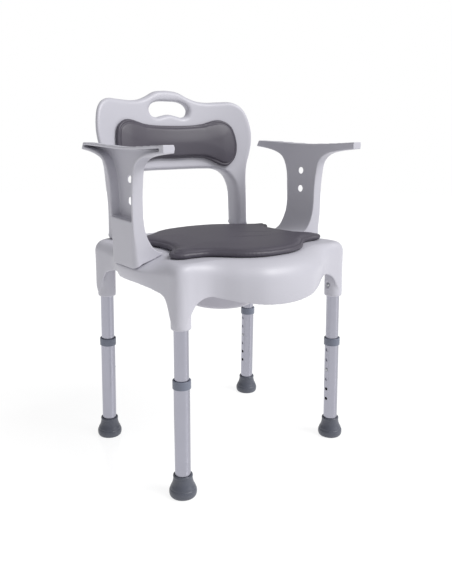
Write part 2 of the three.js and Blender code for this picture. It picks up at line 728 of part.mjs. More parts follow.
function backrest() {
  const reach = 220 + widen;
  const xs = spaced(-reach, reach, 22);
  const zs = [-6, 54, 74, 94, 114, 130, 146, 162, 180, 214, 334];
  const slab = solid(curvedSlab(xs, zs, backFront, (x, z) => backFront(x, z) + backDepth(x, z)));
  const outer = smooth(backOutline, 40);
  const inner = smooth(windowOutline, 16);
  const half = [...outer, ...inner].map(([x, z]) => [stretchX(x), z]);
  const other = half.slice(1, -1).reverse().map(([x, z]) => [-x, z]);
  const prism = solid(alongY(shapeOf([...half, ...other]), cutFrom, cutTo));
  const slot = solid(alongY(shapeOf(ringOf(slotOutline, 32)), cutFrom, cutTo));
  const tongue = solid(backTongue(0, -TONGUE_H, 14));
  return slab.intersect(prism).subtract(slot).add(onBothSides(tongue)).translate([0, 0, SEAT_TOP]);
}

piece('backrest', 'shell', geometryOf(backrest()));

// ---------------------------------------------------------------- seat pad

const padHalf = [
  [0, -206], [38, -203], [76, -188], [106, -163], [134, -140], [160, -134], [188, -130],
  [205, -114], [199, -92], [180, -72], [167, -40], [165, -5], [170, 25], [187, 50], [203, 72],
  [196, 88], [170, 88], [146, 93], [112, 119], [70, 142], [0, 153],
];
const PAD_BOTTOM = SEAT_TOP + GAP;
const boardRx = stretchX(165) - BOARD_EDGE;
const boardRy = (stretchY(153) - stretchY(-206) - 1) / 2 - BOARD_EDGE;

function inset(points, distance) {
  return points.map(([x, y], i) => {
    const [ax, ay] = points[(i + points.length - 1) % points.length];
    const [bx, by] = points[(i + 1) % points.length];
    const length = Math.hypot(bx - ax, by - ay);
    return [x - ((by - ay) / length) * distance, y + ((bx - ax) / length) * distance];
  });
}

function seatPad() {
  const outline = ringOf(padHalf.map(([x, y]) => [stretchX(x), stretchY(y)]), 56);
  const layers = [[5, 0], [0, 4], [0, SEAT_PAD_T - 7], [3, SEAT_PAD_T - 3], [9, SEAT_PAD_T]];
  let body = null;
  layers.slice(0, -1).forEach(([near, z], i) => {
    const [nextIn, nextZ] = layers[i + 1];
    const slice = loft(inset(outline, near), PAD_BOTTOM + z, inset(outline, nextIn),
      PAD_BOTTOM + nextZ);
    body = body ? body.add(solid(slice)) : solid(slice);
  });
  return body.subtract(seatBoardSolid(GAP));
}

// A solid between two outlines of the same count at two heights.
function loft(low, lowZ, high, highZ) {
  const count = low.length;
  const position = [];
  low.forEach(([x, y]) => position.push(x, y, lowZ));
  high.forEach(([x, y]) => position.push(x, y, highZ));
  const index = [];
  const contour = (points) => points.map(([x, y]) => new THREE.Vector2(x, y));
  THREE.ShapeUtils.triangulateShape(contour(low), [])
    .forEach(([a, b, c]) => index.push(a, c, b));
  THREE.ShapeUtils.triangulateShape(contour(high), [])
    .forEach(([a, b, c]) => index.push(a + count, b + count, c + count));
  for (let i = 0; i < count; i += 1) {
    const next = (i + 1) % count;
    index.push(i, next, next + count, i, next + count, i + count);
  }
  const geometry = new THREE.BufferGeometry();
  geometry.setAttribute('position', new THREE.BufferAttribute(new Float32Array(position), 3));
  geometry.setIndex(index);
  return geometry;
}

// Oval stiffening board, which bridges the opening with a margin all round.
function seatBoardSolid(grow) {
  const board = rod(1, PAD_BOTTOM - grow, PAD_BOTTOM + BOARD_T + grow, 40)
    .scale(boardRx + grow, boardRy + grow, 1)
    .translate(0, BOARD_Y, 0);
  return solid(board);
}

piece('seat_pad', 'pad', geometryOf(seatPad()));
piece('seat_pad_board', 'board', geometryOf(seatBoardSolid(0)));

// ---------------------------------------------------------------- backrest pad

const backPadHalf = [
  [0, 253.5], [45, 254.5], [80, 257.5], [105, 262.5], [126, 265], [145, 260], [160, 247.5],
  [167, 226], [169, 204], [165, 181], [154, 162.5], [138, 151], [120, 151], [100, 159.5],
  [78, 166], [50, 168.5], [0, 167.5],
];

function backPadBody(outlineInset, frontOffset, backOffset) {
  const half = backPadHalf.map(([x, z]) => [stretchX(x), z]);
  const outline = inset(ringOf(half, 40).reverse(), outlineInset);
  const prism = solid(alongY(shapeOf(outline), cutFrom, cutTo));
  const reach = 180 + widen;
  const xs = spaced(-reach, reach, 10);
  const slab = curvedSlab(xs, [125, 304], (x, z) => backFront(x, z) - frontOffset,
    (x, z) => backFront(x, z) - backOffset);
  return solid(slab).intersect(prism).translate([0, 0, SEAT_TOP]);
}

function backPad() {
  const front = BOARD_T + BACK_PAD_T;
  return backPadBody(0, front - 5, GAP)
    .add(backPadBody(8, front, GAP))
    .subtract(backPadBody(BACK_BOARD_INSET - GAP, BOARD_T + 2 * GAP, -5));
}

piece('back_pad', 'pad', geometryOf(backPad()));
piece('back_pad_board', 'board', geometryOf(backPadBody(BACK_BOARD_INSET, BOARD_T + GAP, GAP)));

// ---------------------------------------------------------------- bucket and rails

function bucketBody() {
  const low = bucketRimZ - BUCKET_H;
  const r = BUCKET_R_BOTTOM;
  const w = BUCKET_WALL;
  const cup = turned([
    [0, low], [r, low], [r + 7, low + 2], [r + 12, low + 8], [BUCKET_R_TOP, bucketRimZ],
    [BUCKET_R_TOP, bucketRimZ + BUCKET_RIM_T], [BUCKET_R_TOP - w, bucketRimZ + BUCKET_RIM_T],
    [r + 12 - w, low + 8 + w], [r + 6 - w, low + 2 + w], [r, low + w], [0, low + w],
  ], 30).translate(0, HOLE_Y, 0);
  const corner = 40;
  const rim = new THREE.Shape();
  const [x, y] = [bucketRimX, BUCKET_R_TOP + BUCKET_LIP_Y];
  rim.moveTo(-x + corner, -y);
  rim.lineTo(x - corner, -y).absarc(x - corner, -y + corner, corner, -Math.PI / 2, 0);
  rim.lineTo(x, y - corner).absarc(x - corner, y - corner, corner, 0, Math.PI / 2);
  rim.lineTo(-x + corner, y).absarc(-x + corner, y - corner, corner, Math.PI / 2, Math.PI);
  rim.lineTo(-x, -y + corner).absarc(-x + corner, -y + corner, corner, Math.PI, Math.PI * 1.5);
  const flange = alongZ(rim, bucketRimZ, bucketRimZ + BUCKET_RIM_T).translate(0, HOLE_Y, 0);
  const mouth = rod(BUCKET_R_TOP - w / 2, bucketRimZ - 5, bucketRimZ + 9, 30)
    .translate(0, HOLE_Y, 0);
  return solid(flange).subtract(solid(mouth)).add(solid(cup));
}

piece('bucket', 'bucket', geometryOf(bucketBody()));

// Channel rail under the seat, for x positive. The bucket's rim slides on its ledge.
function rail() {
  const ledgeTop = bucketRimZ - GAP;
  const ledge = railIn - BUCKET_R_TOP - RAIL_CLEAR;
  const profile = shapeOf([
    [railIn, railTop], [railIn, ledgeTop], [railIn - ledge, ledgeTop],
    [railIn - ledge, ledgeTop - RAIL_T], [railIn + RAIL_T, ledgeTop - RAIL_T],
    [railIn + RAIL_T, railTop - RAIL_T], [railIn + RAIL_T + 12, railTop - RAIL_T],
    [railIn + RAIL_T + 12, railTop],
  ]);
  const from = HOLE_Y - 125;
  let body = solid(alongY(profile, from, from + RAIL_LENGTH));
  railScrewY.forEach((y) => {
    const hole = rod(RAIL_SCREW_D / 2 + SCREW_CLEAR, railTop - 20, railTop + 5, 10);
    body = body.subtract(solid(hole.translate(railScrewX, y, 0)));
  });
  return body;
}

function railScrew(x, y) {
  const r = RAIL_SCREW_D / 2;
  const head = railScrewHead;
  return turned([
    [0, head - 2], [2 * r, head - 2], [2.3 * r, head - 1], [2.3 * r, head], [r, head],
    [r, railScrewTip], [0, railScrewTip],
  ], 10).translate(x, y, 0);
}

const rightRail = rail();
[['left', -1], ['right', 1]].forEach(([side, sign]) => {
  const body = sign > 0 ? rightRail : rightRail.mirror([1, 0, 0]);
  piece(`bucket_rail_${side}`, 'bucket', geometryOf(body));
  railScrewY.forEach((y, i) => {
    piece(`rail_screw_${side}_${i + 1}`, 'steel',
      railScrew(sign * railScrewX, y));
  });
});

// ---------------------------------------------------------------- origin

// The origin is under the middle of the whole stool.
const whole = new THREE.Box3().setFromObject(stool);
stool.position.y = -(whole.min.y + whole.max.y) / 2;
stool.updateMatrixWorld(true);

export default stool;
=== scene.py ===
import json
import math

import bmesh
import bpy
import numpy as np
from bpy.props import FloatProperty, FloatVectorProperty, IntProperty, PointerProperty
from bpy.types import Operator, Panel, PropertyGroup
from mathutils import Matrix, Vector
from mathutils.geometry import tessellate_polygon


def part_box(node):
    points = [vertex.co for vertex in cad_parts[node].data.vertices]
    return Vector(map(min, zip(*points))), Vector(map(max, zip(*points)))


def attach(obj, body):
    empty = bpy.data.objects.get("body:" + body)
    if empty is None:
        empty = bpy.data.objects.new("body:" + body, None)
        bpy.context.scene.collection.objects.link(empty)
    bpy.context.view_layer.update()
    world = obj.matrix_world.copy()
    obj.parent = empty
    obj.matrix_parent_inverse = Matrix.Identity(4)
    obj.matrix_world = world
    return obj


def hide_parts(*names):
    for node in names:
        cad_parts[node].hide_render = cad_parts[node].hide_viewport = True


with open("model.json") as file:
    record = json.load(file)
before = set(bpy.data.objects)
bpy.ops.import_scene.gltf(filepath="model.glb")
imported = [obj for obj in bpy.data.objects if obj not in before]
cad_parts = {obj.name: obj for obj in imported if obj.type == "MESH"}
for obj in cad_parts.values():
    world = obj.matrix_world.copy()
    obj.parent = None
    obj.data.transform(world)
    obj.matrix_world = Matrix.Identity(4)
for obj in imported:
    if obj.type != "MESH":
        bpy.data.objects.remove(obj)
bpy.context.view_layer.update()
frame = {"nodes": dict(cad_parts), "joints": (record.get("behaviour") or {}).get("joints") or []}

bl_info = {
    "name": "Shower Stool",
    "version": (1, 0, 0),
    "blender": (4, 5, 0),
    "location": "3D View > Sidebar > Stool",
    "description": "Builds a moulded shower and commode chair around its packed frame",
    "category": "Object",
}

MM = 0.001
CORNERS = ("front_left", "front_right", "rear_left", "rear_right")

# Outlines are drawn in millimetres with the bucket's centre on y = 0, and the frame has its
# origin under the middle of the whole stool.
SHELL_FRONT = -243
Y_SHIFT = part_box("seat_shell")[0].y / MM - SHELL_FRONT
SEAT_TOP = 476
SHELL_WALL = 4
# Half widths of the opening over the bucket.
OPENING = (98, 112)


# ---------------------------------------------------------------- sizes and colours


class StoolSizes(PropertyGroup):
    shell_detail: FloatProperty(
        name="Shell detail", description="Width of the smallest form on the moulded pieces",
        default=1.5 * MM, min=0.8 * MM, max=4 * MM, unit="LENGTH")
    edge_softness: IntProperty(
        name="Edge softness", description="How far the moulded edges are rounded",
        default=5, min=0, max=20)
    back_edge: FloatProperty(
        name="Backrest edge", description="Radius of the backrest's edges",
        default=9 * MM, min=2 * MM, max=11 * MM, unit="LENGTH")
    cushion_fill: FloatProperty(
        name="Cushion fill", description="Air pressure that swells the pads",
        default=4.0, min=0.0, max=10.0)
    cushion_rise: FloatProperty(
        name="Cushion rise", description="Furthest that a pad's cover may swell",
        default=5 * MM, min=1 * MM, max=16 * MM, unit="LENGTH")
    leather_grain: FloatProperty(
        name="Leather grain", description="Width of one pebble of the synthetic leather",
        default=1.2 * MM, min=0.5 * MM, max=4 * MM, unit="LENGTH")


def srgb(text):
    """Linear colour from an sRGB hex value."""
    parts = [int(text[i:i + 2], 16) / 255 for i in (1, 3, 5)]
    linear = [c / 12.92 if c <= 0.04045 else ((c + 0.055) / 1.055) ** 2.4 for c in parts]
    return (*linear, 1.0)


def colour(name, words, value):
    """A colour property with its default."""
    return FloatVectorProperty(name=name, description=words, subtype="COLOR", size=4,
                               min=0, max=1, default=srgb(value))


class StoolColours(PropertyGroup):
    shell: colour("Shell", "Polypropylene of the seat, arms and backrest", "#BFBEC7")
    # The bucket and its rails are the shell's plastic made darker: painted shade for the shadow
    # under the seat.
    bucket: colour("Bucket", "Polypropylene of the bucket and its rails", "#B0AEB8")
    leather: colour("Leather", "Synthetic leather of the pads", "#494550")
    rubber: colour("Rubber", "Rubber of the feet", "#4F525D")
    collar: colour("Collar", "Polypropylene of the collars between the tubes", "#6E7382")
    aluminium: colour("Aluminium", "Anodised tube", "#A8A8B3")
    steel: colour("Steel", "Buttons, springs and screws", "#BDBFC2")
    board: colour("Board", "Stiffening boards in the pads", "#3A393D")


# ---------------------------------------------------------------- meshes


def spline(points, per_span, closed=False, power=0.25):
    """A smooth line through points of any dimension. Power 0 spaces its knots evenly."""
    p = np.array(points, float)
    count = len(p)
    spans = count if closed else count - 1
    out = []
    for i in range(spans):
        a = p[i - 1] if closed or i > 0 else 2 * p[0] - p[1]
        b, c = p[i], p[(i + 1) % count]
        d = p[(i + 2) % count] if closed or i + 2 < count else 2 * p[-1] - p[-2]
        if power:
            knots = [max(float(((v - u) ** 2).sum()) ** power, 1e-4)
                     for u, v in ((a, b), (b, c), (c, d))]
        else:
            knots = [1.0, 1.0, 1.0]
        start = (b - a) / knots[0] - (c - a) / (knots[0] + knots[1]) + (c - b) / knots[1]
        end = (c - b) / knots[1] - (d - b) / (knots[1] + knots[2]) + (d - c) / knots[2]
        start, end = start * knots[1], end * knots[1]
        t = (np.arange(per_span) / per_span)[:, None]
        out.append((2 * t ** 3 - 3 * t ** 2 + 1) * b + (t ** 3 - 2 * t ** 2 + t) * start
                   + (3 * t ** 2 - 2 * t ** 3) * c + (t ** 3 - t ** 2) * end)
    line = np.concatenate(out)
    return line if closed else np.concatenate([line, p[-1:]])


def mirrored(half):
    """Half of an outline, from x = 0 to x = 0, with its other side."""
    return list(half) + [(-p[0], *p[1:]) for p in reversed(half[1:-1])]


def made(name, points, faces, shift=True, place=None):
    """A mesh object from points in millimetres. Points with a place of their own stay as
    they are; others may need the shift to the frame's origin."""
    co = np.array(points, float)
    if shift and place is None:
        co[:, 1] += Y_SHIFT
    mesh = bpy.data.meshes.new(name)
    mesh.from_pydata((co * MM).tolist(), [], [list(map(int, f)) for f in faces])
    bm = bmesh.new()
    bm.from_mesh(mesh)
    bmesh.ops.remove_doubles(bm, verts=bm.verts, dist=1e-6)
    bmesh.ops.recalc_face_normals(bm, faces=bm.faces)
    bm.to_mesh(mesh)
    bm.free()
    obj = bpy.data.objects.new(name, mesh)
    bpy.context.scene.collection.objects.link(obj)
    if place is not None:
        obj.matrix_world = place
    return obj


def turned(profile, segments):
    """Points and faces of a profile of (radius, height) pairs turned about Z."""
    points, faces, rings = [], [], []
    for radius, height in profile:
        if radius < 1e-6:
            rings.append([len(points)] * segments)
            points.append((0, 0, height))
            continue
        rings.append(list(range(len(points), len(points) + segments)))
        for k in range(segments):
            turn = 2 * math.pi * k / segments
            points.append((radius * math.cos(turn), radius * math.sin(turn), height))
    for low, high in zip(rings, rings[1:]):
        for k in range(segments):
            loop = [low[k], low[k - 1], high[k - 1], high[k]]
            loop = [v for i, v in enumerate(loop) if v not in loop[:i]]
            if len(loop) > 2:
                faces.append(loop)
    return points, faces


def rounded_profile(corners, radius, steps=4):
    """A profile with every corner between its two ends rounded."""
    out = [corners[0]]
    for before, here, after in zip(corners, corners[1:], corners[2:]):
        a, b, c = (np.array(p, float) for p in (before, here, after))
        reach = min(radius, np.linalg.norm(a - b) / 2.2, np.linalg.norm(c - b) / 2.2)
        start = b + (a - b) / np.linalg.norm(a - b) * reach
        end = b + (c - b) / np.linalg.norm(c - b) * reach
        for k in range(steps + 1):
            t = k / steps
            out.append(tuple((1 - t) ** 2 * start + 2 * t * (1 - t) * b + t ** 2 * end))
    return out + [corners[-1]]


def prism(outline, axis, low, high):
    """Points and faces of an outline drawn through along an axis. The outline's two
    coordinates are the remaining axes in order."""
    others = [k for k in range(3) if k != axis]
    points = []
    for level in (low, high):
        for pair in outline:
            point = [0.0, 0.0, 0.0]
            point[axis] = level
            point[others[0]], point[others[1]] = pair
            points.append(point)
    count = len(outline)
    faces = [list(range(count)), list(range(count, 2 * count))]
    faces += [[i, (i + 1) % count, (i + 1) % count + count, i + count] for i in range(count)]
    return points, faces


def peg(radius, low, high, segments):
    """Points and faces of a round peg about Z, with which holes are cut."""
    return turned([(0, low), (radius, low), (radius, high), (0, high)], segments)


def block(low, high):
    """Points and faces of a box."""
    (x0, y0, z0), (x1, y1, z1) = low, high
    return prism([(x0, y0), (x1, y0), (x1, y1), (x0, y1)], 2, z0, z1)


def loft(rings):
    """Points and faces of a solid through closed rings of the same count."""
    count = len(rings[0])
    points = np.concatenate([np.array(r, float) for r in rings])
    faces = [list(range(count)), list(range(len(points) - count, len(points)))]
    for level in range(len(rings) - 1):
        at = level * count
        faces += [[at + i, at + (i + 1) % count, at + count + (i + 1) % count, at + count + i]
                  for i in range(count)]
    return points, faces


def inset(outline, distance):
    """An outline moved inward along its own normals. Negative moves it outward."""
    p = np.array(outline, float)
    along = np.roll(p, -1, 0) - np.roll(p, 1, 0)
    along /= np.maximum(np.linalg.norm(along, axis=1, keepdims=True), 1e-9)
    x, y = p.T
    area = float((x * np.roll(y, -1) - y * np.roll(x, -1)).sum())
    inward = np.stack([-along[:, 1], along[:, 0]], 1) * (1 if area > 0 else -1)
    return p + inward * distance


def rounded_plate(outer, holes, thickness, radius, steps=6):
    """Points and faces of a plate with holes whose edges are rounded. Its outline lies in
    the first and last coordinates, and its thickness in the middle one."""
    loops = [(np.array(outer, float), 1)] + [(np.array(h, float), -1) for h in holes]
    turns = [math.pi / 2 * k / steps for k in range(steps + 1)]
    levels = [(radius * (1 - math.sin(t)), radius * (1 - math.cos(t))) for t in turns]
    levels += [(i, thickness - w) for i, w in reversed(levels)]
    points, faces = [], []
    caps = [[], []]
    for loop, sign in loops:
        rings = []
        for distance, depth in levels:
            ring = inset(loop, sign * distance)
            rings.append(list(range(len(points), len(points) + len(ring))))
            points += [(u, depth, v) for u, v in ring]
        for low, high in zip(rings, rings[1:]):
            faces += [[low[i - 1], low[i], high[i], high[i - 1]] for i in range(len(low))]
        caps[0].append(rings[0])
        caps[1].append(rings[-1])
    for cap in caps:
        flat = [index for ring in cap for index in ring]
        corners = [[Vector((points[i][0], points[i][2], 0)) for i in ring] for ring in cap]
        faces += [[flat[i] for i in triangle] for triangle in tessellate_polygon(corners)]
    return points, faces


def applied(obj):
    """Gives obj the mesh that its modifiers make."""
    graph = bpy.context.evaluated_depsgraph_get()
    result = bpy.data.meshes.new_from_object(obj.evaluated_get(graph))
    old = obj.data
    obj.modifiers.clear()
    obj.data = result
    bpy.data.meshes.remove(old)
    return obj


def combined(obj, others, operation):
    """Joins, cuts or intersects obj with other objects, which are used up."""
    for other in others:
        step = obj.modifiers.new(operation, "BOOLEAN")
        step.operation = operation
        step.solver = "EXACT"
        step.object = other
    applied(obj)
    for other in others:
        bpy.data.meshes.remove(other.data)
    return obj


def joined(obj, others):
    """Adds the meshes of other objects to obj, which are used up."""
    bm = bmesh.new()
    bm.from_mesh(obj.data)
    for other in others:
        other.data.transform(other.matrix_world)
        bm.from_mesh(other.data)
        bpy.data.meshes.remove(other.data)
    bm.to_mesh(obj.data)
    bm.free()
    return obj


def moulded(obj, voxel, softness):
    """One even skin over everything in obj, with its edges and inner corners rounded."""
    skin = obj.modifiers.new("Skin", "REMESH")
    skin.mode = "VOXEL"
    skin.voxel_size = voxel
    skin.use_smooth_shade = True
    soft = obj.modifiers.new("Soft", "SMOOTH")
    soft.factor = 0.5
    soft.iterations = softness
    return applied(obj)


def coordinates(obj):
    co = np.zeros(len(obj.data.vertices) * 3, np.float32)
    obj.data.vertices.foreach_get("co", co)
    return co.reshape(-1, 3).astype(float)


def set_coordinates(obj, co):
    obj.data.vertices.foreach_set("co", np.asarray(co, np.float32).ravel())
    obj.data.update()


def shade(obj, angle=None):
    """Smooth shading, with edges sharper than an angle in degrees kept."""
    obj.data.polygons.foreach_set("use_smooth", [True] * len(obj.data.polygons))
    if angle is not None:
        bm = bmesh.new()
        bm.from_mesh(obj.data)
        for edge in bm.edges:
            bend = edge.calc_face_angle(0) if len(edge.link_faces) == 2 else math.pi
            edge.smooth = bend < math.radians(angle)
        bm.to_mesh(obj.data)
        bm.free()


def away_from(points, outline):
    """Distance of 2D points from a closed outline, positive inside it."""
    p = np.asarray(points, float)
    a = np.asarray(outline, float)
    b = np.roll(a, -1, 0)
    nearest = np.full(len(p), np.inf)
    inside = np.zeros(len(p), bool)
    for (ax, ay), (bx, by) in zip(a, b):
        dx, dy = bx - ax, by - ay
        part = ((p[:, 0] - ax) * dx + (p[:, 1] - ay) * dy) / (dx * dx + dy * dy + 1e-12)
        t = np.clip(part, 0, 1)
        nearest = np.minimum(nearest, np.hypot(p[:, 0] - ax - t * dx, p[:, 1] - ay - t * dy))
        if ay != by:
            crosses = (ay > p[:, 1]) != (by > p[:, 1])
            inside ^= crosses & (p[:, 0] < (bx - ax) * (p[:, 1] - ay) / (by - ay) + ax)
    return np.where(inside, nearest, -nearest)


def smoothstep(value, low, high):
    t = np.clip((value - low) / (high - low), 0, 1)
    return t * t * (3 - 2 * t)


def dressed(obj, material, body, slot, *nodes):
    """Gives a finished piece its material and body, and hides the nodes that it stands for. Its
    slot is not used.
    """
    obj.data.materials.clear()
    obj.data.materials.append(material)
    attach(obj, body)
    if nodes:
        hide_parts(*nodes)
    return obj


def leg_place(corner):
    """Where a leg stands: its Z runs up the leaning axis, and its X points to the middle."""
    axes = {j["name"]: Vector(j["axis"]).normalized() for j in frame["joints"]}
    up = axes[f"height_{corner}"]
    inward = -axes[f"press_{corner}"]
    side = up.cross(inward).normalized()
    inward = side.cross(up)
    low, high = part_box(f"foot_{corner}")
    place = Matrix((inward, side, up)).transposed().to_4x4()
    place.translation = ((low.x + high.x) / 2, (low.y + high.y) / 2, 0)
    return place


def lying(place, z):
    """A place on a leg whose Z points along the leg's inward direction."""
    return place @ Matrix.Translation((0, 0, z * MM)) @ Matrix.Rotation(math.pi / 2, 4, "Y")


def fitted(obj, place, angle, key, body, slot, node):
    """Puts a finished piece in its place on a leg and dresses it."""
    obj.matrix_world = place
    shade(obj, angle)
    dressed(obj, material_for(key), body, slot, node)


# ---------------------------------------------------------------- materials


def add(tree, kind, inputs=None, **settings):
    """Adds a node with its settings, and its inputs as values or as links."""
    new = tree.nodes.new(kind)
    for name, value in settings.items():
        setattr(new, name, value)
    for name, value in (inputs or {}).items():
        if isinstance(value, bpy.types.NodeSocket):
            tree.links.new(value, new.inputs[name])
        else:
            new.inputs[name].default_value = value
    return new


def tinted(value, share):
    """A colour made lighter or darker by a share."""
    return (*[min(1, c * share) for c in value[:3]], 1.0)


def surface(name):
    """An empty node material, its tree and the place on the object."""
    material = bpy.data.materials.new(name)
    material.use_nodes = True
    tree = material.node_tree
    tree.nodes.clear()
    return material, tree, add(tree, "ShaderNodeTexCoord").outputs["Object"]


def noise(where, scale, detail, output="Fac", **more):
    """Noise over a place."""
    inputs = {"Vector": where, "Scale": scale, "Detail": detail, **more}
    return add(where.id_data, "ShaderNodeTexNoise", inputs).outputs[output]


def spread(factor, low, high):
    """A factor spread over a range."""
    inputs = {"Value": factor, "To Min": low, "To Max": high}
    return add(factor.id_data, "ShaderNodeMapRange", inputs).outputs["Result"]


def toned(factor, base, dark, light):
    """A colour that a factor takes from a darker to a lighter share of itself."""
    inputs = {"Factor": factor, "A": tinted(base, dark), "B": tinted(base, light)}
    return add(factor.id_data, "ShaderNodeMix", inputs, data_type="RGBA").outputs["Result"]


def bumped(height, strength, distance):
    """A normal that follows a height."""
    inputs = {"Height": height, "Strength": strength, "Distance": distance * MM}
    return add(height.id_data, "ShaderNodeBump", inputs).outputs["Normal"]


def finished(material, inputs):
    """Closes a material with its shader."""
    shader = add(material.node_tree, "ShaderNodeBsdfPrincipled", inputs)
    add(material.node_tree, "ShaderNodeOutputMaterial", {"Surface": shader.outputs["BSDF"]})
    return material


def moulded_polypropylene(name, base, roughness=0.40):
    """Injection-moulded polypropylene from a spark-eroded tool: a satin skin with a fine
    grain, and a slow drift of shade from the flow of the melt."""
    material, _, where = surface(name)
    # The eroded grain is 0.3 mm, drawn at 0.7 mm so that it shows.
    grain = noise(where, 1 / (0.7 * MM), 3.0, Roughness=0.6)
    flow = noise(where, 7.0, 2.0)
    handled = noise(where, 38.0, 4.0)
    return finished(material, {
        "Base Color": toned(flow, base, 0.965, 1.035),
        "Roughness": spread(handled, roughness - 0.05, roughness + 0.07),
        "Normal": bumped(grain, 0.10, 0.1), "IOR": 1.49})


def anodised_aluminium(base):
    """Drawn tube, satin anodised: soft bands of light along the tube, broken by the fine
    lines that the die leaves lengthwise."""
    material, tree, where = surface("aluminium_drawn_anodised")
    # Die lines are 0.2 mm apart, drawn at 0.5 mm, and run unbroken for about 200 mm.
    along = add(tree, "ShaderNodeMapping", {"Vector": where, "Scale": (2000, 2000, 5)})
    lines = noise(along.outputs["Vector"], 1.0, 3.0)
    cloud = noise(where, 22.0, 3.0)
    return finished(material, {
        "Base Color": toned(cloud, base, 0.95, 1.03), "Metallic": 1.0,
        "Roughness": spread(lines, 0.26, 0.36), "Normal": bumped(lines, 0.12, 0.05)})


def moulded_rubber(base):
    """Compression-moulded rubber: matte and slightly mottled, with bloom on it and a faint
    gloss where the mould was polished."""
    material, _, where = surface("rubber_moulded")
    # Mould grain of 0.5 mm, drawn at 0.9 mm.
    grain = noise(where, 1 / (0.9 * MM), 3.0)
    bloom = noise(where, 60.0, 5.0)
    return finished(material, {
        "Base Color": toned(bloom, base, 0.9, 1.12), "Roughness": spread(bloom, 0.30, 0.48),
        "Normal": bumped(grain, 0.15, 0.12), "IOR": 1.52})


def embossed_leather(base, pebble):
    """Polyurethane leather, embossed on a roller: pebbles with a soft sheen on their tops
    and a duller valley between them."""
    material, tree, where = surface("synthetic_leather_embossed")
    drift = noise(where, 0.4 / pebble, 2.0, "Color")
    warp = add(tree, "ShaderNodeMix", {"Factor": 0.0008, "A": where, "B": drift},
               data_type="VECTOR")
    cells = add(tree, "ShaderNodeTexVoronoi", {
        "Vector": warp.outputs["Result"], "Scale": 1 / pebble, "Smoothness": 0.6},
        feature="SMOOTH_F1").outputs["Distance"]
    folds = noise(where, 55.0, 4.0, Distortion=0.6)
    wear = noise(where, 9.0, 3.0)
    height = add(tree, "ShaderNodeMath", {0: cells, 1: folds}, operation="ADD")
    return finished(material, {
        "Base Color": toned(wear, base, 0.9, 1.1), "Roughness": spread(cells, 0.40, 0.56),
        "Normal": bumped(height.outputs["Value"], 0.28, 0.25), "IOR": 1.5,
        "Coat Weight": 0.06, "Coat Roughness": 0.35})


def turned_steel(base):
    """Stainless steel, turned and tumbled: bright, and broken by small scratches."""
    material, _, where = surface("stainless_steel_turned")
    scratch = noise(where, 900.0, 4.0, Distortion=1.2)
    return finished(material, {
        "Base Color": toned(scratch, base, 0.9, 1), "Metallic": 1.0,
        "Roughness": spread(scratch, 0.2, 0.36), "Normal": bumped(scratch, 0.1, 0.05)})


def lit_acrylic(base):
    """Studio floor of cast acrylic, polished and lit evenly from below: almost no shadow
    stays on it, and the feet mirror faintly in it."""
    material, _, where = surface("floor_acrylic_lit")
    haze = noise(where, 3.0, 2.0)
    return finished(material, {
        "Base Color": tinted(base, 0.24), "Roughness": spread(haze, 0.10, 0.16), "IOR": 1.49,
        "Emission Color": base, "Emission Strength": 0.82})


MATERIALS = {}


def material_for(key):
    """The stool's materials, each made once from the chosen colours."""
    if key not in MATERIALS:
        colours = bpy.context.scene.stool_colours
        sizes = bpy.context.scene.stool_sizes
        makers = {
            "shell": lambda: moulded_polypropylene("polypropylene_satin", colours.shell),
            # The bucket's colour is darker than the shell's, which paints the shade under the
            # seat on it and its rails.
            "bucket": lambda: moulded_polypropylene("polypropylene_darkened_for_shade", colours.bucket, 0.34),
            "board": lambda: moulded_polypropylene("polypropylene_black", colours.board, 0.5),
            "leather": lambda: embossed_leather(colours.leather, sizes.leather_grain),
            "rubber": lambda: moulded_rubber(colours.rubber),
            "collar": lambda: moulded_polypropylene("polypropylene_slate", colours.collar, 0.38),
            "aluminium": lambda: anodised_aluminium(colours.aluminium),
            "steel": lambda: turned_steel(colours.steel),
        }
        MATERIALS[key] = makers[key]()
    return MATERIALS[key]


# ---------------------------------------------------------------- seat shell

# Round half of the rim from the middle of the front to the middle of the back: x, y, width
# and drop of the rounded shoulder, height of the lower edge, tuck of that edge, and the
# share of the drop that is an even slope.
RIM = [
    (0, -243, 46, 40, 386, 7, 4), (58, -236, 46, 40, 389, 7, 4), (103, -214, 42, 38, 396, 6, 3),
    (137, -189, 34, 32, 404, 4, 2), (160, -177, 28, 28, 409, 2, 0),
    (186, -172.5, 24, 25, 398, 0, 0), (209, -171, 22, 24, 362, -2.6, 0),
    (222.5, -164.6, 22, 24, 360, -2.6, 0), (227.7, -151, 24, 24, 362, -2.6, 0),
    (229, -128, 28, 25, 407, 0, 1), (235, -98, 46, 26, 417, 2, 6), (246, -68, 64, 26, 422, 6, 13),
    (252, -38, 66, 25, 424, 8, 14), (253, -8, 66, 25, 424, 8, 14), (250, 22, 64, 25, 424, 8, 13),
    (240, 46, 50, 26, 424, 6, 8), (230, 68, 34, 26, 424, 4, 3), (225, 94, 26, 26, 420, 1, 0),
    (226, 126, 22, 24, 407, 0, 0), (227.7, 151, 22, 24, 362, -2.6, 0),
    (225, 170, 22, 24, 380, -1, 0), (210, 186, 22, 24, 420, 0, 0), (180, 194, 22, 22, 438, 0, 0),
    (110, 198, 22, 20, 444, 0, 0), (0, 200, 22, 20, 444, 0, 0),
]
RIM_PER_SPAN = 7
SHOULDER_STEPS = 12
WALL_STEPS = 10
SADDLE = [(186, 477), (202, 472), (220, 466.5), (238, 461.5), (254, 453)]
ARM_MID_Y = -13
ARM_W = 94
ARM_TOE = 4
ARM_OUT = 253
ARM_T = 24
ARM_FRONT = ARM_MID_Y - ARM_W / 2
ARM_BACK = ARM_MID_Y + ARM_W / 2
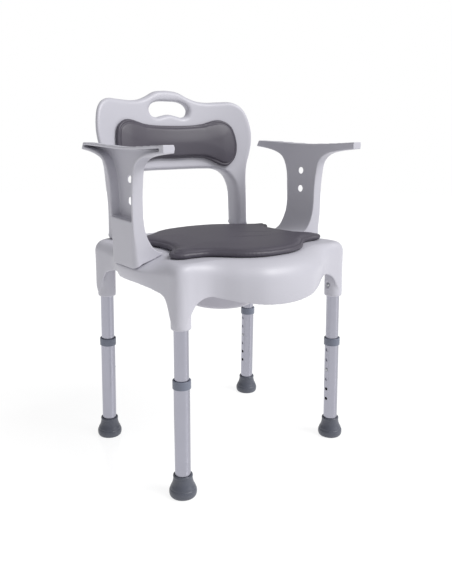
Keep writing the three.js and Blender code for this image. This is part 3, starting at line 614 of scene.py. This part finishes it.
# Corners in plan and lower end of the tongues on which the arms and the backrest plug in.
ARM_TONGUE = ((226, ARM_MID_Y - 31), (240, ARM_MID_Y + 31), 428)
BACK_TONGUE = ((164, 144), (184, 170), 421)
TONGUE_SLOT_TOP = 490
POST_WALL = 3.9
FIT = 0.4
FOOT_ROOM = 0.8
SLEEVE_IN = 14.8
SLEEVE_OUT = 19.8
SLEEVE_BOTTOM = 350
SLEEVE_TOP = 444
SCREW_Z = 377
# Radius of a leg screw's hole and of its recess, and where each starts from the leg's axis.
SCREW_HOLES = ((2.6, 5), (6.4, 16.4))
SCREW_REACH = 40


def rim_section(station, skin):
    """One cut through the shell, from the opening over the shoulder and down the skirt."""
    x, y, width, drop, low, tuck, slope = station
    reach = math.hypot(x, y)
    angle = math.atan2(y / reach / OPENING[1], x / reach / OPENING[0])
    edge = math.hypot(OPENING[0] * math.cos(angle), OPENING[1] * math.sin(angle))
    top = SEAT_TOP - skin
    cut = [(edge, top), ((edge + reach - width) / 2, top)]
    for i in range(SHOULDER_STEPS + 1):
        turn = math.pi / 2 * i / SHOULDER_STEPS
        across = (width - skin) * math.sin(turn)
        fall = slope * math.sin(turn) + (drop - skin - slope) * (1 - math.cos(turn))
        cut.append((reach - width + across, top - fall))
    for i in range(1, WALL_STEPS + 1):
        part = i / WALL_STEPS
        cut.append((reach - skin - tuck * part ** 2,
                    SEAT_TOP - drop + (low - SEAT_TOP + drop) * part))
    return [(x / reach * d, y / reach * d, z) for d, z in cut]


def seat_skin():
    """Points and faces of the open shell, without its sleeves."""
    stations = spline(mirrored(RIM), RIM_PER_SPAN, closed=True, power=0)
    columns = [rim_section(s, 0) + rim_section(s, SHELL_WALL)[::-1] for s in stations]
    rows = len(columns[0])
    faces = []
    for i in range(len(columns)):
        for j in range(rows):
            a, b = i * rows + j, ((i + 1) % len(columns)) * rows + j
            c, d = ((i + 1) % len(columns)) * rows + (j + 1) % rows, i * rows + (j + 1) % rows
            faces.append((a, d, c, b))
    return [p for column in columns for p in column], faces


def arm_footprint(side):
    """Points and faces of the room that an arm's foot takes out of the shell."""
    inner, high = SADDLE[0][0] - FOOT_ROOM, 520
    outline = [*spline(SADDLE, 8), (ARM_OUT + 6, 447), (ARM_OUT + 6, high), (inner, high),
               (inner, SADDLE[0][1])]
    reach = ARM_TOE + FOOT_ROOM
    return prism([(side * x, z) for x, z in outline], 1, ARM_FRONT - reach, ARM_BACK + reach)


def tongue(shape, side, grow, high):
    """Points and faces of a tongue, or of what lies a distance around it."""
    (x0, y0), (x1, y1), low = shape
    x0, x1 = sorted((side * (x0 - grow), side * (x1 + grow)))
    return block((x0, y0 - grow, low - grow), (x1, y1 + grow, high))


class STOOL_OT_seat_shell(Operator):
    """Mould the seat with its shoulders, skirt and four leg sleeves"""

    bl_idname = "stool.seat_shell"
    bl_label = "Seat shell"

    def execute(self, context):
        sizes = context.scene.stool_sizes
        shell = made("seat_shell_moulded", *seat_skin())
        posts = []
        for side in (-1, 1):
            posts.append(made("post", *tongue(ARM_TONGUE, side, POST_WALL, 462)))
            posts.append(made("post", *tongue(BACK_TONGUE, side, POST_WALL, 474)))
        cuts, screws = [], []
        for corner in CORNERS:
            place = leg_place(corner)
            sleeve = rounded_profile([
                (0, SLEEVE_BOTTOM), (SLEEVE_OUT, SLEEVE_BOTTOM), (SLEEVE_OUT, SLEEVE_TOP),
                (SLEEVE_OUT / 2, SLEEVE_TOP + 14), (0, SLEEVE_TOP + 14)], 3)
            posts.append(made("sleeve", *turned(sleeve, 64), place=place))
            bore = peg(SLEEVE_IN, SLEEVE_BOTTOM - 10, SLEEVE_TOP + 0.3, 64)
            cuts.append(made("bore", *bore, place=place))
            for radius, low in SCREW_HOLES:
                screws.append(made("hole", *peg(radius, low, SCREW_REACH, 32),
                                   place=lying(place, SCREW_Z)))
        combined(shell, posts, "UNION")
        for side in (-1, 1):
            cuts.append(made("cut", *arm_footprint(side)))
            screws.append(made("cut", *tongue(ARM_TONGUE, side, FIT, TONGUE_SLOT_TOP)))
            cuts.append(made("cut", *tongue(BACK_TONGUE, side, FIT, TONGUE_SLOT_TOP)))
        combined(shell, cuts, "DIFFERENCE")
        combined(shell, screws, "DIFFERENCE")
        moulded(shell, sizes.shell_detail, sizes.edge_softness)
        dressed(shell, material_for("shell"), "frame", "shell", "seat_shell")
        return {"FINISHED"}


# ---------------------------------------------------------------- arms

REST_TOP = [(153, 690), (85, 688), (-25, 685), (-110, 688), (-172, 692)]
ARM_UNDER = [(-172, 677.5), (-116, 670.5), (-92, 664.5), (-76, 655), (-67, 643), (-62, 620),
             (-59, 590), (-59, 540), (-60, 500), (-61, 478), (-63, 462), (-64, 452)]
ARM_REAR = [(38, 452), (37, 462), (35, 478), (34, 500), (33, 540), (35, 590), (38, 620),
            (48, 645), (60, 657), (80, 665), (110, 671), (153, 675.5)]
CHANNEL_FRONT = [(-53, 546), (-53, 600), (-56, 624), (-61, 646.5), (-72, 660), (-90, 669.5),
                 (-115, 676), (-160, 681)]
CHANNEL_REAR = [(143, 680.5), (110, 677), (78, 671), (56, 663), (43, 650), (32, 624), (29, 600),
                (28, 548)]
ARM_WEB = 3
REST_SKIN = 5
REST_IN, REST_OUT, REST_T = 219, 255.5, 14
REST_ROUND = 4.5
ARM_HOLES = (581, 623.5)
ARM_HOLE_R = 7.6
# Further out than any face that a cutter has to clear.
BEYOND = 300
ARM_FLARE = [(230, 590), (229, 552), (224, 520), (212, 496), (200, 484.5), (189, 480.5)]


def arm_side():
    """The arm seen from the side, in Y and Z: a T with curved shoulders."""
    foot = [(-64, 440), (38, 440)]
    return [*spline(REST_TOP, 8)[1:], *spline(ARM_UNDER, 6), *foot, *spline(ARM_REAR, 6)]


def corner_wedge(edge, out):
    """Points and faces of what is cut off an outer corner of the foot, so that the corner
    grows rounder towards the seat. The edge is the corner's y, and out its direction."""
    rings = []
    for z in np.linspace(438, 562, 12):
        radius = 1.5 + 13 * smoothstep(562 - z, 0, 105)
        y = edge + out * ARM_TOE * smoothstep(500 - z, 0, 48)
        arc = [(ARM_OUT - radius + radius * math.sin(t), y - out * radius * (1 - math.cos(t)), z)
               for t in np.linspace(0, math.pi / 2, 9)]
        rings.append([*arc, (ARM_OUT + 4, y - out * radius, z), (ARM_OUT + 4, y + out * 6, z),
                      (ARM_OUT - radius, y + out * 6, z)])
    return loft(rings)


def arm_rest():
    """Points and faces of the arm rest: a bar with rounded edges and ends."""
    line = spline(REST_TOP, 12)
    ends = [line[0] + (line[1] - line[0]) * part for part in (0.02, 0.08, 0.2, 0.5)]
    tips = [line[-1] + (line[-2] - line[-1]) * part for part in (0.5, 0.2, 0.08, 0.02)]
    line = np.concatenate([line[:1], ends, line[1:-1], tips, line[-1:]])
    radius = REST_ROUND
    rings = []
    for y, z in line:
        end = min(line[0][0] - y, y - line[-1][0])
        short = radius - math.sqrt(max(radius ** 2 - max(radius - end, 0) ** 2, 0))
        low, high = (REST_IN + short, z - REST_T + short), (REST_OUT - short, z - short)
        corners = [(high[0], high[1]), (low[0], high[1]), (low[0], low[1]), (high[0], low[1])]
        ring = []
        for k, (x, height) in enumerate(corners):
            cx = x + radius * (-1 if k in (0, 3) else 1)
            cz = height + radius * (-1 if k in (0, 1) else 1)
            for step in range(6):
                turn = math.pi / 2 * (k + step / 5)
                ring.append((cx + radius * math.cos(turn), y, cz + radius * math.sin(turn)))
        rings.append(ring)
    return loft(rings)


def arm_mesh(sizes):
    """The arm on the side where x is positive."""
    side = arm_side()
    upright = made("arm", *prism(side, 0, ARM_OUT - ARM_T, ARM_OUT))
    flare = [*spline(ARM_FLARE, 8), (189, 440), (ARM_OUT - 2, 440), (ARM_OUT - 2, 590)]
    foot = made("foot", *prism(flare, 1, ARM_FRONT - ARM_TOE, ARM_BACK + ARM_TOE))
    combined(foot, [made("limit", *prism(side, 0, 150, BEYOND))], "INTERSECT")
    combined(upright, [foot], "UNION")
    saddle = [(x, z + 0.5) for x, z in spline(SADDLE, 8)]
    under = [(126, 300), (BEYOND, 300), (BEYOND, 447.3), *reversed(saddle), (126, 477.5)]
    below = made("below", *prism(under, 1, -200, 200))
    combined(upright, [below], "DIFFERENCE")
    combined(upright, [made("rest", *arm_rest())], "UNION")
    under = [(y, z - REST_SKIN) for y, z in spline(REST_TOP, 8)[::-1] if -163 < y < 146]
    channel = [*spline(CHANNEL_FRONT, 6), *under, *spline(CHANNEL_REAR, 6)]
    cuts = [made("channel", *prism(channel, 0, ARM_OUT - ARM_T + ARM_WEB, 260))]
    cuts += [made("corner", *corner_wedge(ARM_FRONT - 1, -1)),
             made("corner", *corner_wedge(ARM_BACK + 1, 1))]
    middle = Matrix.Translation((0, (ARM_MID_Y + 1 + Y_SHIFT) * MM, 0))
    for z in ARM_HOLES:
        cuts.append(made("hole", *peg(ARM_HOLE_R, 220, 260, 32), place=lying(middle, z)))
    combined(upright, cuts, "DIFFERENCE")
    combined(upright, [made("tongue", *tongue(ARM_TONGUE, 1, 0, 480))], "UNION")
    return moulded(upright, 1.25 * MM, sizes.edge_softness + 2)


class STOOL_OT_arms(Operator):
    """Mould the two lift-off arms"""

    bl_idname = "stool.arms"
    bl_label = "Arms"

    def execute(self, context):
        right = arm_mesh(context.scene.stool_sizes)
        left = right.copy()
        left.data = right.data.copy()
        context.scene.collection.objects.link(left)
        left.data.transform(Matrix.Scale(-1, 4, (1, 0, 0)))
        left.data.flip_normals()
        for name, arm in (("arm_right", right), ("arm_left", left)):
            arm.name = f"{name}_moulded"
            dressed(arm, material_for("shell"), name, "shell", name)
        return {"FINISHED"}


# ---------------------------------------------------------------- backrest

BACK_OUTER = [(0, 805), (30, 802), (57, 790), (80, 782.5), (104, 780), (146, 782), (168, 782.5),
              (186, 776.5), (200, 763), (209, 740), (213, 710), (210, 682), (203, 655),
              (195, 630), (190, 600), (188, 560), (190, 476.4)]
BACK_WINDOW = [(161, 476.4), (159, 530), (157, 572), (152, 590), (144, 603), (130, 614),
               (108, 620.5), (80, 622), (0, 622)]
BACK_SLOT = [(0, 780), (28, 779), (46, 773), (55, 761), (50, 748), (36, 743.5), (18, 747),
             (0, 750)]
UPRIGHT_T = 48
PLATE_T = 24
# The front face: its y where it is not leaned, its lean and wrap, the height that it leans
# about, and the height below which it bends to plumb, over a length.
BACK_Y, BACK_LEAN, BACK_WRAP = 206, 0.2, 0.00093
BACK_LEAN_Z, BACK_BEND_Z, BACK_BEND = 770, 600, 70


def back_front(x, z):
    """Depth of the backrest's front face at a place on it."""
    below = np.clip(BACK_BEND_Z - z, 0, BACK_BEND)
    bent = BACK_BEND_Z - BACK_LEAN_Z - below + below ** 2 / (2 * BACK_BEND)
    lean = np.where(z >= BACK_BEND_Z, z - BACK_LEAN_Z, bent)
    return BACK_Y - BACK_WRAP * x ** 2 + BACK_LEAN * lean


def back_depth(x, z):
    """Thickness of the backrest at a place: slim at the panel's sides, deep in the uprights."""
    panel = PLATE_T - 9 * smoothstep(np.abs(x), 120, 212)
    return UPRIGHT_T + (panel - UPRIGHT_T) * smoothstep(z, 580, 690)


def bent_to_back(co):
    """Bends points from a flat plate, whose middle coordinate is the depth, to the back."""
    x, depth, z = co[:, 0], co[:, 1], co[:, 2]
    y = back_front(x, z) + depth / PLATE_T * back_depth(x, z)
    return np.stack([x, y, z], 1)


class STOOL_OT_backrest(Operator):
    """Mould the backrest with its uprights and carrying slot"""

    bl_idname = "stool.backrest"
    bl_label = "Backrest"

    def execute(self, context):
        sizes = context.scene.stool_sizes
        half = [*spline(BACK_OUTER, 10), *spline(BACK_WINDOW, 10)]
        slot = spline(mirrored(BACK_SLOT), 12, closed=True)
        plate = rounded_plate(mirrored(half), [slot], PLATE_T, sizes.back_edge / MM)
        back = made("backrest_moulded", *plate, shift=False)
        moulded(back, sizes.shell_detail * 1.2, 0)
        co = bent_to_back(coordinates(back) / MM)
        co[:, 1] += Y_SHIFT
        set_coordinates(back, co * MM)
        joined(back, [made("tongue", *tongue(BACK_TONGUE, side, 0, TONGUE_SLOT_TOP))
                      for side in (-1, 1)])
        moulded(back, sizes.shell_detail, sizes.edge_softness + 1)
        dressed(back, material_for("shell"), "backrest", "shell", "backrest")
        return {"FINISHED"}


# ---------------------------------------------------------------- pads

SEAT_PAD = [(0, -206), (38, -203), (76, -188), (106, -163), (134, -140), (160, -134),
            (188, -130), (205, -114), (199, -92), (180, -72), (167, -40), (165, -5), (170, 25),
            (187, 50), (203, 72), (196, 88), (170, 88), (146, 93), (112, 119), (70, 142),
            (0, 153)]
BACK_PAD = [(0, 729.5), (45, 730.5), (80, 733.5), (105, 738.5), (126, 741), (145, 736),
            (160, 723.5), (167, 702), (169, 680), (165, 657), (154, 638.5), (138, 627),
            (120, 627), (100, 635.5), (78, 642), (50, 644.5), (0, 643.5)]
PAD_Z = SEAT_TOP + 0.3
SETTLE_FRAMES = 20
# Two shallow creases that a sitter leaves: their ends and depth.
CREASES = (((-20, -60), (70, -95), 1.3), ((30, -20), (110, -60), 0.8))
CREASE_WIDTH = 3.4


def swollen(obj, pressure, rise):
    """Fills a closed pad with air for a moment and keeps the shape that its cover takes."""
    start = coordinates(obj)
    cloth = obj.modifiers.new("Cover", "CLOTH")
    cloth.settings.use_pressure = True
    cloth.settings.uniform_pressure_force = pressure
    cloth.settings.effector_weights.gravity = 0
    cloth.settings.quality = 4
    scene = bpy.context.scene
    for step in range(1, SETTLE_FRAMES + 1):
        scene.frame_set(step)
    graph = bpy.context.evaluated_depsgraph_get()
    cover = obj.evaluated_get(graph).to_mesh()
    end = np.zeros(len(cover.vertices) * 3, np.float32)
    cover.vertices.foreach_get("co", end)
    obj.evaluated_get(graph).to_mesh_clear()
    obj.modifiers.clear()
    scene.frame_set(1)
    move = end.reshape(-1, 3) - start
    length = np.linalg.norm(move, axis=1, keepdims=True)
    reach = rise * np.tanh(length / rise)
    set_coordinates(obj, start + move * reach / np.maximum(length, 1e-9))


def stuffed(pad, voxel, sizes):
    """Rounds, swells and smooths a pad, and gives its coordinates in millimetres."""
    moulded(pad, voxel, 2)
    swollen(pad, sizes.cushion_fill, sizes.cushion_rise)
    soft = pad.modifiers.new("Soft", "SMOOTH")
    soft.factor = 0.5
    soft.iterations = 2
    fine = pad.modifiers.new("Fine", "SUBSURF")
    fine.levels = 1
    return coordinates(applied(pad)) / MM


def pad_body(outline, levels):
    """A closed pad through insets of its outline: pairs of inset and height."""
    rings = [[(x, y, z) for x, y in inset(outline, distance)] for distance, z in levels]
    return loft(rings)


def seam_groove(distance, at, width, depth):
    """Depth of a sewn groove at a distance inside the outline."""
    return depth * np.exp(-((distance - at) / width) ** 2)


class STOOL_OT_seat_pad(Operator):
    """Sew and stuff the seat pad"""

    bl_idname = "stool.seat_pad"
    bl_label = "Seat pad"

    def execute(self, context):
        sizes = context.scene.stool_sizes
        outline = spline(mirrored(SEAT_PAD), 6, closed=True)
        levels = [(7, 0.3), (2.5, 2.4), (1, 6), (1.2, 10), (4, 13.4), (9, 15)]
        body = pad_body(outline, [(i, PAD_Z + z) for i, z in levels])
        pad = made("seat_pad_sewn", *body)
        co = stuffed(pad, 3.5 * MM, sizes)
        plan = np.stack([co[:, 0], co[:, 1] - Y_SHIFT], 1)
        inside = away_from(plan, outline)
        bottom = PAD_Z + 0.1
        height = co[:, 2] - bottom
        upper = smoothstep(height, 6, 12)
        # The cover's height is brought to the pad's real thickness, crowned to the middle.
        crown = 16.4 + 2.2 * smoothstep(inside, 6, 90)
        highest = max(height.max(), 1)
        co[:, 2] = bottom + np.clip(height, 0, None) * (crown / highest)
        co[:, 2] -= upper * seam_groove(inside, 12, 2.0, 2.0)
        for (ax, ay), (bx, by), depth in CREASES:
            line = np.array([[bx - ax, by - ay]], float)
            reach = np.clip(((plan - (ax, ay)) @ line.T)[:, 0] / (line ** 2).sum(), 0, 1)
            off = np.linalg.norm(plan - ((ax, ay) + reach[:, None] * line), axis=1)
            fade = np.sin(math.pi * reach) ** 0.5
            co[:, 2] -= upper * depth * fade * np.exp(-(off / CREASE_WIDTH) ** 2)
        set_coordinates(pad, co * MM)
        shade(pad)
        dressed(pad, material_for("leather"), "seat_cushion", "pad", "seat_pad")
        return {"FINISHED"}


class STOOL_OT_back_pad(Operator):
    """Sew and stuff the backrest pad"""

    bl_idname = "stool.back_pad"
    bl_label = "Backrest pad"

    def execute(self, context):
        sizes = context.scene.stool_sizes
        outline = spline(mirrored(BACK_PAD), 7, closed=True)
        levels = [(3, 0), (0.6, 2.5), (0.4, 6), (1.8, 10.5), (5.5, 14)]
        points, faces = pad_body(outline, levels)
        # The pad is made lying down: its height becomes the way out of the back's face.
        pad = made("back_pad_sewn", [(x, -w, z) for x, z, w in points], faces, shift=False)
        co = stuffed(pad, 3 * MM, sizes)
        plan = co[:, [0, 2]]
        inside = away_from(plan, outline)
        height = np.clip(-co[:, 1], 0, None)
        upper = smoothstep(height, 5, 11)
        crown = 15.5 + 3.2 * smoothstep(inside, 8, 45)
        height *= crown / max(height.max(), 1)
        height -= upper * seam_groove(inside, 9.5, 1.9, 2.2)
        co[:, 1] = back_front(co[:, 0], co[:, 2]) - 0.3 - height + Y_SHIFT
        set_coordinates(pad, co * MM)
        shade(pad)
        dressed(pad, material_for("leather"), "backrest", "pad", "back_pad")
        return {"FINISHED"}


# ---------------------------------------------------------------- legs

UPPER_R = 14.5
LOWER_R = 16
TUBE_WALL = 1.2
TUBE_EASE = 0.35
HOLE_R = 3.9
HOLE_COUNT = 6
HOLE_PITCH = 24.6
HOLE_TOP = 219.5
BUTTON_Z = HOLE_TOP - 2 * HOLE_PITCH


def tube(name, outer, low, high, drilled):
    """A drawn tube with its ends eased and with holes on its inward side."""
    inner, ease = outer - TUBE_WALL, TUBE_EASE
    profile = [(inner + ease, low), (outer - ease, low), (outer, low + ease),
               (outer, high - ease),
               (outer - ease, high), (inner + ease, high), (inner, high - ease),
               (inner, low + ease), (inner + ease, low)]
    wall = made(name, *turned(profile, 72), shift=False)
    drills = [made("drill", *peg(HOLE_R, 2, 24, 24), place=lying(Matrix.Identity(4), z))
              for z in drilled]
    return combined(wall, drills, "DIFFERENCE")


class STOOL_OT_tubes(Operator):
    """Draw the upper and lower leg tubes and drill their holes"""

    bl_idname = "stool.tubes"
    bl_label = "Leg tubes"

    def execute(self, context):
        holes = [HOLE_TOP - i * HOLE_PITCH for i in range(HOLE_COUNT)]
        for corner in CORNERS:
            place = leg_place(corner)
            upper = tube(f"upper_tube_{corner}_drawn", UPPER_R, 133, SLEEVE_TOP,
                         [BUTTON_Z, SCREW_Z])
            lower = tube(f"lower_tube_{corner}_drawn", LOWER_R, 12.5, 244, holes)
            fitted(upper, place, 35, "aluminium", "frame", "tube", f"upper_tube_{corner}")
            fitted(lower, place, 35, "aluminium", f"leg_{corner}", "tube",
                   f"lower_tube_{corner}")
        return {"FINISHED"}


FOOT = [(0, -2), (23.5, -2), (26.2, 0.6), (27.6, 3.4), (28.2, 7), (28.2, 11), (27.6, 14.2),
        (26.5, 16.4), (25.9, 17.2), (26, 18.4), (25.1, 20.8), (23.3, 24.2), (21.6, 28.6),
        (20.4, 33.5), (19.7, 38.5), (19.5, 40.2), (20, 41.2), (20.1, 43.4), (19.5, 45.2),
        (18.4, 46), (16.4, 46)]


class STOOL_OT_feet(Operator):
    """Mould the rubber feet and the collars between the tubes"""

    bl_idname = "stool.feet"
    bl_label = "Feet and collars"

    def execute(self, context):
        for corner in CORNERS:
            place = leg_place(corner)
            profile = [FOOT[0], *spline(FOOT[1:], 3), (16.3, 45), (16.3, 12.2), (0, 12.2)]
            foot = made(f"foot_{corner}_moulded", *turned(profile, 72), shift=False)
            back = place.inverted()
            co = []
            for vertex in foot.data.vertices:
                point = place @ vertex.co
                point.z = max(point.z, 0)
                co.append(back @ point)
            set_coordinates(foot, co)
            fitted(foot, place, 50, "rubber", f"leg_{corner}", "rubber", f"foot_{corner}")
            ring = rounded_profile([
                (17.4, 230.8), (18.3, 230.8), (18.3, 239), (18.3, 247.8), (14.9, 247.8),
                (14.9, 244.3), (16.3, 244.3), (16.3, 230.8), (17.4, 230.8)], 1.3)
            collar = made(f"collar_{corner}_moulded", *turned(ring, 72), shift=False)
            fitted(collar, place, 60, "collar", f"leg_{corner}", "rubber",
                   f"collar_{corner}")
        return {"FINISHED"}


class STOOL_OT_buttons(Operator):
    """Turn the push buttons and the screws of the leg sleeves"""

    bl_idname = "stool.buttons"
    bl_label = "Buttons and leg screws"

    def execute(self, context):
        for corner in CORNERS:
            place = leg_place(corner)
            dome = [(3.5 * math.cos(t), 15.6 + 2.8 * math.sin(t))
                    for t in np.linspace(0, math.pi / 2, 9)]
            button = made(f"height_button_{corner}_turned",
                          *turned([(0, 10.2), (5.5, 10.2), (5.5, 11.6), (3.5, 11.6), *dome[:-1],
                                   (0, 18.4)], 32), shift=False)
            fitted(button, lying(place, BUTTON_Z), 50, "steel", f"button_{corner}", "steel",
                   f"height_button_{corner}")
            head = rounded_profile([(0, 7), (1.5, 7), (2.25, 8.5), (2.25, 17), (4.5, 17),
                                    (4.5, 18), (2.9, 19.6), (0, 19.8)], 0.6)
            screw = made(f"leg_screw_{corner}_turned", *turned(head, 32), shift=False)
            cross = [made("slot", *block((-0.5, -2.4, 18.5), (0.5, 2.4, 21)), shift=False),
                     made("slot", *block((-2.4, -0.5, 18.4), (2.4, 0.5, 21)), shift=False)]
            combined(screw, cross, "DIFFERENCE")
            fitted(screw, lying(place, SCREW_Z), 40, "steel", "frame", "steel",
                   f"leg_screw_{corner}")
        return {"FINISHED"}


# ---------------------------------------------------------------- bucket


class STOOL_OT_bucket(Operator):
    """Mould the bucket with its sliding rim"""

    bl_idname = "stool.bucket"
    bl_label = "Bucket"

    def execute(self, context):
        cup = rounded_profile([
            (0, 336), (66, 336), (73, 338), (78, 344), (106, 428), (106, 431), (103.5, 431),
            (75.5, 346.5), (69.5, 340.5), (66, 338.5), (0, 338.5)], 5, 3)
        bucket = made("bucket_moulded", *turned(cup, 96))
        rim = []
        for turn in np.linspace(0, 2 * math.pi, 96, endpoint=False):
            c, s = math.cos(turn), math.sin(turn)
            cx, cy = math.copysign(81, c), math.copysign(76, s)
            rim.append((cx + 40 * c, cy + 40 * s))
        flange = made("flange", *prism(rim, 2, 428, 431))
        hole = made("mouth", *peg(104.8, 420, 440, 96))
        combined(flange, [hole], "DIFFERENCE")
        combined(bucket, [flange], "UNION")
        edge = bucket.modifiers.new("Edge", "BEVEL")
        edge.width = 0.8 * MM
        edge.segments = 2
        edge.angle_limit = math.radians(50)
        applied(bucket)
        shade(bucket, 40)
        dressed(bucket, material_for("bucket"), "bucket", "pail", "bucket")
        return {"FINISHED"}


class STOOL_OT_fittings(Operator):
    """Finish the small fittings whose shape comes with the frame"""

    bl_idname = "stool.fittings"
    bl_label = "Rails, springs and boards"

    def execute(self, context):
        finishes = {"bucket_rail": "bucket", "rail_screw": "steel", "button_spring": "steel",
                    "seat_pad_board": "board", "back_pad_board": "board"}
        for name, node in frame["nodes"].items():
            for start, key in finishes.items():
                if name.startswith(start):
                    node.data.materials.clear()
                    node.data.materials.append(material_for(key))
        return {"FINISHED"}


# ---------------------------------------------------------------- stage


FLOOR_RADIUS = 6000
FLOOR_STEPS = 48
WHITE = srgb("#FFFFFF")
# Each light's place and what it faces.
SUN_LIE = ((0.6, -0.9, 1.1), (0, 0, 0))
STRIP_LIE = ((1.5, -2.1, 0.6), (0, 0, 0.3))
# The camera's place with the bucket's centre on y = 0, its lens, and its turns in degrees.
CAMERA_PLACE = (-0.8163, -1.0839, 0.7214)
CAMERA_LENS = 37.77
CAMERA_YAW, CAMERA_PITCH, CAMERA_ROLL = 37.52, 15.04, 0.33


class STOOL_OT_stage(Operator):
    """Lay the floor and set the studio light and the camera"""

    bl_idname = "stool.stage"
    bl_label = "Stage"

    def execute(self, context):
        scene = context.scene
        scene.view_settings.view_transform = "Standard"
        turns = [2 * math.pi * k / FLOOR_STEPS for k in range(FLOOR_STEPS)]
        ring = [(FLOOR_RADIUS * math.cos(t), FLOOR_RADIUS * math.sin(t), 0) for t in turns]
        floor = made("floor", ring, [range(FLOOR_STEPS)], shift=False)
        floor.data.materials.append(lit_acrylic(WHITE))

        world = bpy.data.worlds.new("studio")
        scene.world = world
        world.use_nodes = True
        tree = world.node_tree
        tree.nodes.clear()
        seen = add(tree, "ShaderNodeLightPath").outputs["Is Camera Ray"]
        glow = spread(seen, 0.45, 1.0)
        sky = add(tree, "ShaderNodeBackground", {"Color": WHITE, "Strength": glow})
        add(tree, "ShaderNodeOutputWorld", {"Surface": sky.outputs["Background"]})

        sun = bpy.data.lights.new("key", "SUN")
        sun.energy = 2.3
        sun.angle = math.radians(32)
        strip = bpy.data.lights.new("strip", "AREA")
        strip.shape = "RECTANGLE"
        strip.size, strip.size_y = 0.3, 1.8
        strip.energy = 5
        for data, (place, aim) in ((sun, SUN_LIE), (strip, STRIP_LIE)):
            lamp = bpy.data.objects.new(data.name, data)
            scene.collection.objects.link(lamp)
            lamp.location = place
            facing = Vector(aim) - Vector(place)
            lamp.rotation_euler = facing.to_track_quat("-Z", "Y").to_euler()

        data = bpy.data.cameras.new("camera")
        data.sensor_width = 36
        data.lens = CAMERA_LENS
        camera = bpy.data.objects.new("camera", data)
        scene.collection.objects.link(camera)
        camera.location = Vector(CAMERA_PLACE) + Vector((0, Y_SHIFT * MM, 0))
        yaw, pitch, roll = map(math.radians, (CAMERA_YAW, CAMERA_PITCH, CAMERA_ROLL))
        camera.rotation_euler = (Matrix.Rotation(-yaw, 3, "Z")
                                 @ Matrix.Rotation(math.pi / 2 - pitch, 3, "X")
                                 @ Matrix.Rotation(roll, 3, "Z")).to_euler()
        scene.camera = camera
        return {"FINISHED"}


# ---------------------------------------------------------------- add-on

OPERATORS = (
    STOOL_OT_stage, STOOL_OT_seat_shell, STOOL_OT_arms, STOOL_OT_backrest, STOOL_OT_seat_pad,
    STOOL_OT_back_pad, STOOL_OT_tubes, STOOL_OT_feet, STOOL_OT_buttons, STOOL_OT_bucket,
    STOOL_OT_fittings,
)


class STOOL_PT_panel(Panel):
    """Lists the stool's sizes, colours and pieces"""

    bl_idname = "STOOL_PT_panel"
    bl_label = "Shower Stool"
    bl_space_type = "VIEW_3D"
    bl_region_type = "UI"
    bl_category = "Stool"

    def draw(self, context):
        for group in (context.scene.stool_sizes, context.scene.stool_colours):
            column = self.layout.column(align=True)
            for name in group.__annotations__:
                column.prop(group, name)
        for operator in OPERATORS:
            self.layout.operator(operator.bl_idname)


CLASSES = (StoolSizes, StoolColours, *OPERATORS, STOOL_PT_panel)


def register():
    for cls in CLASSES:
        bpy.utils.register_class(cls)
    bpy.types.Scene.stool_sizes = PointerProperty(type=StoolSizes)
    bpy.types.Scene.stool_colours = PointerProperty(type=StoolColours)


def unregister():
    del bpy.types.Scene.stool_colours
    del bpy.types.Scene.stool_sizes
    for cls in reversed(CLASSES):
        bpy.utils.unregister_class(cls)


def main():
    register()
    for operator in OPERATORS:
        group, name = operator.bl_idname.split(".")
        getattr(getattr(bpy.ops, group), name)()


if __name__ == "__main__":
    main()
